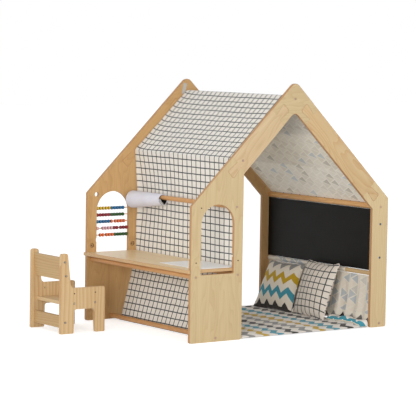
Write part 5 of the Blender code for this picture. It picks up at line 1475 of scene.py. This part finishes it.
def make_soft_pillow(node, finish):
    """A pillow: simulated form with its print's flat places, and a welt along the seam."""
    frame_of = pillow_frame(node)
    inverse, forward = np.array(frame_of.inverted()), np.array(frame_of.to_3x3())
    half = np.array(PILLOWS[node]["size"]) / 2

    def own(points):
        return points @ inverse[:3, :3].T + inverse[:3, 3]

    def in_house(plane_moves):
        return np.c_[plane_moves, np.zeros(len(plane_moves))] @ forward.T

    thing = even_mesh(node, PILLOW_VOXEL)
    points = mesh_rows(thing.data)
    centre = points.mean(axis=0)
    set_points(thing.data, centre + (points - centre) * 0.99)
    local = own(mesh_rows(thing.data))
    rim = np.abs(local[:, :2] / half).max(axis=1)
    held = np.clip((rim - 0.90) / 0.08, 0, 1) * np.clip(1 - np.abs(local[:, 2]) / SEAM_HALF, 0, 1)
    set_points(thing.data, blown_up(thing, 4.0, PILLOW_CAP, MAT_TOP, held))
    mesh = finer_mesh(thing)
    points, normals = mesh_rows(mesh), mesh_rows(mesh, "normal")
    local = own(points)
    share = np.abs(local[:, :2] / half)
    near_seam = np.clip((share.max(axis=1) - 0.62) / 0.3, 0, 1)
    side = np.sign(local[:, 2])
    grow = (np.ptp(own(mesh_rows(NODES[node].data)), axis=0) / np.ptp(local, axis=0))[:2] - 1
    points = points + in_house(local[:, :2] * grow)
    along_side = np.where(share[:, 0] > share[:, 1], local[:, 1], local[:, 0])
    pucker = noise_rows(np.stack([along_side * 42, np.abs(local[:, 2]) * 9, side * 3 + 5], 1))
    dents = noise_rows(np.stack([local[:, 0] * 9 + 3, local[:, 1] * 7, side * 4], 1))
    points = points + normals * (pucker * near_seam * PUCKER + dents * DENT)[:, None]
    corner = np.clip(share[:, 0], 0, 1) ** 3 * np.clip(share[:, 1], 0, 1) ** 3
    points = points + in_house(np.sign(local[:, :2]) * (corner * CORNER_OUT)[:, None])
    points[:, 2] = np.maximum(points[:, 2], MAT_TOP)
    set_points(mesh, points)
    bulge = 1 + 0.10 * np.clip(np.abs(local[:, 2]) / (PILLOW_THICKNESS / 2), 0, 1)
    shifted = np.where(local[:, 2] >= 0, 0, BACK_SHIFT)
    lay_flat(mesh, np.stack([local[:, 0] * bulge, local[:, 1] * bulge + shifted, np.zeros(len(local))], 1))
    finish_piece(mesh, node + "_cover", finish, [node], smooth=180)
    add_welt(node, mesh, frame_of, half, finish)
    print(node, len(mesh.polygons), "faces")


# %% [markdown]
# A thin welt of folded cloth stands on the seam. Rays sent from outside towards the pillow's middle find
# the seam, wherever the simulation has left it, and a small oval is swept round the points where they land.

# %% The welt and both pillows
WELT_POINTS, WELT_SIDES, WELT_THICK, WELT_SINK, WELT_LIFT = 240, 8, 0.0019, 0.0006, 0.0002
WELT_FLAT, WELT_PITCH = 0.0125, 0.004


def add_welt(node, mesh, frame_of, half, finish):
    """A thin folded edge along the seam, placed where a line from outside meets the pillow."""
    tree = BVHTree.FromPolygons([v.co for v in mesh.vertices], [p.vertices for p in mesh.polygons])
    centre = frame_of.translation
    spine = []
    for step in range(WELT_POINTS):
        angle = 2 * math.pi * step / WELT_POINTS
        way = Vector((math.cos(angle), math.sin(angle)))
        reach = 1.3 * min(half[0] / max(abs(way.x), 1e-6), half[1] / max(abs(way.y), 1e-6))
        start = frame_of @ Vector((way.x * reach, way.y * reach, 0))
        hit = tree.ray_cast(start, (centre - start).normalized())
        if hit[0]:
            spine.append(hit[0])
    verts, faces, flats = [], [], []
    for number, spot in enumerate(spine):
        run = (spine[(number + 1) % len(spine)] - spine[number - 1]).normalized()
        out = (spot - centre).normalized()
        side = run.cross(out).normalized()
        out = side.cross(run).normalized()
        for corner in range(WELT_SIDES):
            angle = 2 * math.pi * corner / WELT_SIDES
            point = (spot + out * (math.cos(angle) * WELT_THICK * 1.5 + WELT_SINK)
                     + side * math.sin(angle) * WELT_THICK * 0.8)
            point.z = max(point.z, MAT_TOP + WELT_LIFT)
            verts.append(point)
            flats.append((WELT_FLAT, number * WELT_PITCH, 0))
    for number in range(len(spine)):
        for corner in range(WELT_SIDES):
            a, b = number * WELT_SIDES + corner, number * WELT_SIDES + (corner + 1) % WELT_SIDES
            faces.append((a, (a + WELT_SIDES) % len(verts), (b + WELT_SIDES) % len(verts), b))
    welt_mesh = closed_mesh(node + "_welt", verts, faces)
    lay_flat(welt_mesh, flats)
    finish_piece(welt_mesh, node + "_welt", finish, smooth=180)


PILLOW_GROUND = srgb(238, 228, 212)
pillow_zigzag = zigzagged("chevron_pillow_cotton", PILLOW_GROUND, (0.030, 0.1295, 0), pitch=0.089, rise=0.042,
                          width=0.039, wave_length=0.075, filled=[(0.0115, CHARCOAL), (0.2610, GREY)])
pillow_check = checked("check_pillow_cotton", srgb(224, 214, 202), (0, 0, 0), line=0.0054, along=0.0362)
make_soft_pillow("chevron_pillow", pillow_zigzag)
make_soft_pillow("check_pillow", pillow_check)

# %% [markdown]
# ## The floor mat
# The mat is a thin pad of the zigzag cotton, folded and laid between the gables, so its surface is wavy and
# its rims are soft. The same simulation puffs it up, with its rims held, and slow noise adds the waves of
# use. At the back right its rim is pushed up into a soft fold, where a lower band of the print comes into
# view.

# %% Floor mat
MAT_VOXEL, MAT_CAP, MAT_LOWEST, MAT_MIDDLE, MAT_HIGHEST = 0.009, 0.003, 0.0002, 0.006, 0.024
MAT_RIM, MAT_SOFT_RIM, MAT_WAVE, MAT_FINE_WAVE, MAT_LIFT = 0.006, 0.05, 0.0058, 0.0022, 0.0018
PILLOWS_FROM, PILLOWS_TO, PILLOWS_AT, PILLOWS_FADE = -0.43, 0.26, 0.425, 0.03
FOLD_AT, FOLD_FROM, FOLD_SHIFT, FOLD_BULGE, FOLD_RUN, FOLD_START = 0.470, 0.200, 0.1945, 0.025, 0.012, 0.030
mat_low, mat_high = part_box("floor_mat")


def to_rim(points):
    """How far each point is from the nearest rim of the mat."""
    return np.minimum.reduce([points[:, 0] - mat_low.x, mat_high.x - points[:, 0],
                              points[:, 1] - mat_low.y, mat_high.y - points[:, 1]])


mat = even_mesh("floor_mat", MAT_VOXEL)
held = np.clip(1 - to_rim(mesh_rows(mat.data)) / MAT_RIM, 0, 1)
set_points(mat.data, blown_up(mat, 1.2, MAT_CAP, MAT_LOWEST, held))
mesh = finer_mesh(mat)
points = mesh_rows(mesh)
x, y = points[:, 0].copy(), points[:, 1].copy()
upper = np.clip((points[:, 2] - MAT_MIDDLE) / MAT_MIDDLE, 0, 1)
free = np.clip(to_rim(points) / MAT_SOFT_RIM, 0, 1)
under = (x > PILLOWS_FROM) & (x < PILLOWS_TO)
clear_of_pillows = np.where(under, np.clip((PILLOWS_AT - y) / PILLOWS_FADE, 0.1, 1), 1)
waves = (MAT_WAVE * noise_rows(np.stack([x * 3.2, y * 9, np.full(len(x), 1.0)], 1))
         + MAT_FINE_WAVE * noise_rows(np.stack([x * 12, y * 20, np.full(len(x), 4.0)], 1)) + MAT_LIFT)
raised = points[:, 2] + waves * upper * (0.2 + 0.8 * free) * clear_of_pillows
points[:, 2] = np.where(upper > 0, np.clip(raised, MAT_MIDDLE, MAT_HIGHEST), points[:, 2])
folded = (y > FOLD_AT) & (x > FOLD_FROM) & (upper > 0)
ramp = np.clip((y - FOLD_AT) / FOLD_RUN, 0, 1) * np.clip((x - FOLD_FROM) / FOLD_START, 0, 1)
bulge = FOLD_BULGE * np.sin(np.pi / 2 * ramp) * (1 + 0.25 * np.sin(x * 40)) * upper
points[:, 2] = np.maximum(points[:, 2] + bulge, MAT_LOWEST)
points[:, 0] = np.clip(x, mat_low.x, mat_high.x)
points[:, 1] = np.clip(y, mat_low.y, mat_high.y)
set_points(mesh, points)
printed_down = -points[:, 1] - bulge - FOLD_SHIFT * folded
lay_flat(mesh, np.stack([points[:, 0], printed_down, np.zeros(len(points))], 1))
mat_zigzag = zigzagged("mat_cotton", srgb(238, 232, 223), (0, 0.400, 0), pitch=0.0945, rise=0.040,
                       width=0.042, wave_length=0.0775)
mat_cover = finish_piece(mesh, "floor_mat_cover", mat_zigzag, ["floor_mat"], smooth=180)
print("mat", len(mesh.polygons), "faces")

# %% [markdown]
# ## The paper roll
# Drawing paper is wound on a black tube and slipped on the rod; handling has pulled it into a cone. The
# surface follows a spiral, so a straight loose edge runs along it, and the cut ends show the turns as fine
# steps. Both tubes are turned from a profile of rows, each at a share of the length and a depth under the
# paper's surface.

# %% Turning a tube on the roll's axis
ROLL_AXIS_LEFT, ROLL_AXIS = Vector((-0.462, -0.3675, 0.6578)), Vector((0.99817, 0, 0.06044)).normalized()
ROLL_RUN = ROLL_LENGTH / ROLL_AXIS.x
roll_side = Vector((0, -1, 0))
roll_up = roll_side.cross(ROLL_AXIS).normalized()


def on_roll(share, inward, angle, beyond=0.0):
    """A point at a share of the roll's length, inward from its surface, at an angle from the desk side."""
    radius = ROLL_LEFT_RADIUS + (ROLL_RIGHT_RADIUS - ROLL_LEFT_RADIUS) * share - inward
    way = roll_side * math.cos(angle) + roll_up * math.sin(angle)
    return ROLL_AXIS_LEFT + ROLL_AXIS * (ROLL_RUN * share + beyond) + way * radius


def turned_tube(name, rows, spiral, finish, node, sides=96):
    """A closed tube from (share, inward, beyond) rows, with a step of spiral height where the turns end."""
    verts, faces = [], []
    for side in range(sides + 1):
        angle = 2 * math.pi * side / sides - 0.9
        for share, inward, beyond in rows:
            verts.append(on_roll(share, inward + spiral * side / sides, angle, beyond))
    count = len(rows)
    for side in range(sides):
        for row in range(count):
            a, b = side * count + row, side * count + (row + 1) % count
            faces.append((a, b, b + count, a + count))
    last = sides * count
    faces += [(row + last, (row + 1) % count + last, (row + 1) % count, row) for row in range(count)]
    print(name, len(faces), "faces")
    return finish_piece(closed_mesh(name, verts, faces), name, finish, [node], "roll", smooth=35)


# %% [markdown]
# Paper is matt, with a fine tooth and a few bruises. The tube inside it is nearly black.

# %% Paper and tube
PAPER_WALL, CORE_WALL, LOOSE_EDGE, CORE_CLEAR, CORE_SHORT = 0.0040, 0.0015, 0.0005, 0.0001, 0.001
TURNS, TURN_DEPTH, LONG_STEPS = 5, 0.0003, 12
drawing_paper, tree, shader = new_finish("drawing_paper", 0.75)
where = object_place(tree)
tooth = put(tree, "ShaderNodeTexNoise", None, Vector=where, Scale=420.0, Detail=3.0).outputs[0]
speckled(tree, shader, where, 16.0, (226, 226, 236), (214, 213, 222))
tree.links.new(put(tree, "ShaderNodeBump", None, Strength=0.2, Distance=0.0003, Height=tooth).outputs[0],
               shader["Normal"])
core_black, tree, shader = new_finish("core_black", 0.55, Specular_IOR_Level=0.3)
speckled(tree, shader, object_place(tree), 90.0, (24, 24, 26), (44, 43, 44))

ends = []
for turn in range(TURNS + 1):
    inward = PAPER_WALL * turn / TURNS
    step = [(1, inward, 0), (1, inward, -TURN_DEPTH)]
    ends += step if turn % 2 else step[::-1]
left_ends = [(0, inward, -beyond) for _, inward, beyond in reversed(ends)]
along = [(step / LONG_STEPS, 0, 0) for step in range(1, LONG_STEPS)]
bore = [(step / LONG_STEPS, PAPER_WALL, 0) for step in range(LONG_STEPS - 1, 0, -1)]
turned_tube("wound_paper", along + ends + bore + left_ends, LOOSE_EDGE, drawing_paper, "paper_roll")
core_out, core_in = PAPER_WALL + LOOSE_EDGE + CORE_CLEAR, PAPER_WALL + CORE_WALL
turned_tube("paper_tube", [(0, core_out, CORE_SHORT), (1, core_out, -CORE_SHORT), (1, core_in, -CORE_SHORT),
                           (0, core_in, CORE_SHORT)], 0.0, core_black, "paper_core")

# %% [markdown]
# A strip curls out of the tube at the lower right. Its white and black stripes are painted reflections,
# the glints of a crumpled shiny strip. It is a thin curved plate of two layers with a rim, longest in its
# middle. It turns with the roll, so it rides on the roll's body.

# %% Striped curl
CURL_FROM, CURL_TO, CURL_OUT, CURL_BACK, CURL_ROWS, CURL_COLUMNS = -1.75, 0.15, 0.034, 0.012, 8, 24
CURL_INWARD, CURL_FLARE, CURL_THICK, STRIPE_PITCH = 0.0042, 0.0018, 0.0004, 0.0125
# painted reflections: slanted white and black stripes stand for the glints on a crumpled shiny strip
glint_stripes, tree, shader = new_finish("striped_liner", 0.6)
split = put(tree, "ShaderNodeSeparateXYZ", None, Vector=object_place(tree)).outputs
slanted = sums(tree, "ADD", split[0], sums(tree, "MULTIPLY", split[2], 1.6))
glint_bar = sums(tree, "GREATER_THAN", sums(tree, "FRACT", sums(tree, "DIVIDE", slanted, STRIPE_PITCH)), 0.5)
tree.links.new(blend_colours(tree, glint_bar, srgb(236, 236, 236), srgb(28, 28, 30)), shader["Base Color"])
curl_verts, curl_faces = [], []
for layer in (0, 1):
    for row in range(CURL_ROWS + 1):
        for column in range(CURL_COLUMNS + 1):
            angle = CURL_FROM + (CURL_TO - CURL_FROM) * column / CURL_COLUMNS
            reach = CURL_OUT * (0.45 + 0.55 * math.sin(math.pi * column / CURL_COLUMNS))
            inward = CURL_INWARD - CURL_FLARE * row / CURL_ROWS + CURL_THICK * layer
            curl_verts.append(on_roll(1, inward, angle, -CURL_BACK + (reach + CURL_BACK) * row / CURL_ROWS))
wide = CURL_COLUMNS + 1
layer_size = wide * (CURL_ROWS + 1)
for row in range(CURL_ROWS):
    for column in range(CURL_COLUMNS):
        a = row * wide + column
        curl_faces.append((a, a + wide, a + wide + 1, a + 1))
        curl_faces.append(tuple(corner + layer_size for corner in (a, a + 1, a + wide + 1, a + wide)))
rim = ([column for column in range(wide)] + [row * wide + wide - 1 for row in range(1, CURL_ROWS + 1)]
       + [CURL_ROWS * wide + column for column in range(wide - 2, -1, -1)]
       + [row * wide for row in range(CURL_ROWS - 1, 0, -1)])
for here, after in zip(rim, rim[1:] + rim[:1]):
    curl_faces.append((here, after, after + layer_size, here + layer_size))
finish_piece(closed_mesh("striped_curl", curl_verts, curl_faces), "striped_curl", glint_stripes, body="roll",
             smooth=60)
print("striped curl", len(curl_faces), "faces")

# %% [markdown]
# ## Spare holes and sockets
# The spare holes that let the desk and the seat be fixed higher are dark inside: a dark cup just under each
# rim paints that shade, and the bolt tree sets those too, with a cup in place of the bolt head. The wide
# sockets for the rails' second height get a dark lining, a painted shade on the socket's wall.

# %% Dark cups in the spare holes
INSERT_RADIUS, INSERT_DEPTH, INSERT_SEAT, UPPER_HOLES = 0.00325, 0.004, 0.0003, 0.4115
PANEL_HOLE, UPPER_SEAT_HOLES = (-0.592, 0.690), 0.210
# painted shade: the dark cups stand for the shade inside the holes
insert_dark, tree, shader = new_finish("insert_dark", 0.6, Metallic=0.2)
speckled(tree, shader, object_place(tree), 300.0, (52, 34, 20), (34, 24, 16))


def insert_mesh():
    """A small cup that fills a spare hole just under its rim, where its dark finish paints the hole's shade.
    """
    solid = bmesh.new()
    bmesh.ops.create_cone(solid, cap_ends=True, segments=14, radius1=INSERT_RADIUS, radius2=INSERT_RADIUS,
                          depth=INSERT_DEPTH)
    top = max(solid.faces, key=lambda face: face.calc_center_median().z)
    bmesh.ops.inset_region(solid, faces=[top], thickness=INSERT_RADIUS * 0.3, depth=-INSERT_DEPTH * 0.4)
    mesh = bpy.data.meshes.new("insert")
    solid.to_mesh(mesh)
    solid.free()
    return mesh


outer_face = HALF_LENGTH - INSERT_SEAT
desk_rails = (DESK_FRONT_RAIL[0], DESK_BACK_RAIL[0])
spare_places = [((sign * outer_face, y, UPPER_HOLES), (sign, 0, 0)) for y in desk_rails for sign in (-1, 1)]
spare_places.append(((outer_face, *PANEL_HOLE), (1, 0, 0)))
spare_places += [((face - way * INSERT_SEAT, CHAIR_BACK + y, UPPER_SEAT_HOLES), (way, 0, 0))
                 for y in SEAT_BOLTS_Y for face, way in ((CHAIR_LEFT, -1), (CHAIR_RIGHT, 1))]
set_bolts("spare_inserts", spare_places, insert_mesh, insert_dark)

# %% [markdown]
# The lining is a short ring, and the dark cup at the socket's floor is the same as before; both are painted
# shade.

# %% Linings of the spare sockets
INNER_FACE, SOCKET_DEPTH, LINING_BACK, CUP_BACK = HALF_LENGTH - PLY, 0.006, 0.0002, 0.0006
LINING_OUT, LINING_IN, LINING_DEPTH, LINING_SIDES = 0.0127, 0.0112, 0.0052, 36
# painted shade: the brown of the lining stands for the shadow on the socket's wall
socket_wall_shade, tree, shader = new_finish("scorched_socket", 0.8)
speckled(tree, shader, object_place(tree), 120.0, (112, 74, 42), (78, 50, 28))


def lining_mesh():
    """The dark wall of a rail's spare socket, open at its front: a painted shade."""
    rows = [(LINING_OUT, 0), (LINING_IN, 0), (LINING_IN, -LINING_DEPTH), (LINING_OUT, -LINING_DEPTH)]
    turns = [2 * math.pi * side / LINING_SIDES for side in range(LINING_SIDES)]
    verts = [(radius * math.cos(turn), radius * math.sin(turn), z) for radius, z in rows for turn in turns]
    faces = []
    for row in range(len(rows)):
        low, high = row * LINING_SIDES, (row + 1) % len(rows) * LINING_SIDES
        for side in range(LINING_SIDES):
            after = (side + 1) % LINING_SIDES
            faces.append((low + side, low + after, high + after, high + side))
    return closed_mesh("lining", verts, faces)


def in_sockets(depth):
    """The four spare sockets, at a depth behind the gables' inner faces, looking inwards."""
    return [((sign * (INNER_FACE + depth), y, UPPER_HOLES), (-sign, 0, 0))
            for sign in (-1, 1) for y in desk_rails]


set_bolts("spare_socket_walls", in_sockets(LINING_BACK), lining_mesh, socket_wall_shade)
set_bolts("spare_socket_inserts", in_sockets(SOCKET_DEPTH + CUP_BACK), insert_mesh, insert_dark)

# %% [markdown]
# ## The webbing tab
# A strip of ribbed webbing is stapled to the left gable at the ridge. A wave texture gives the ribs.

# %% Webbing tab
webbing, tree, shader = new_finish("grey_webbing", 0.9)
ribs = put(tree, "ShaderNodeTexWave", {"bands_direction": "Z"}, Vector=object_place(tree), Scale=150.0,
           Distortion=0.4).outputs["Color"]
tree.links.new(blend_colours(tree, 0.35, srgb(206, 199, 188), ribs, "MULTIPLY"), shader["Base Color"])
tree.links.new(put(tree, "ShaderNodeBump", None, Strength=0.4, Distance=0.0004, Height=ribs).outputs[0],
               shader["Normal"])
tab = to_piece(merged_copy("ridge_tab"), "webbing_tab", webbing, ["ridge_tab"])
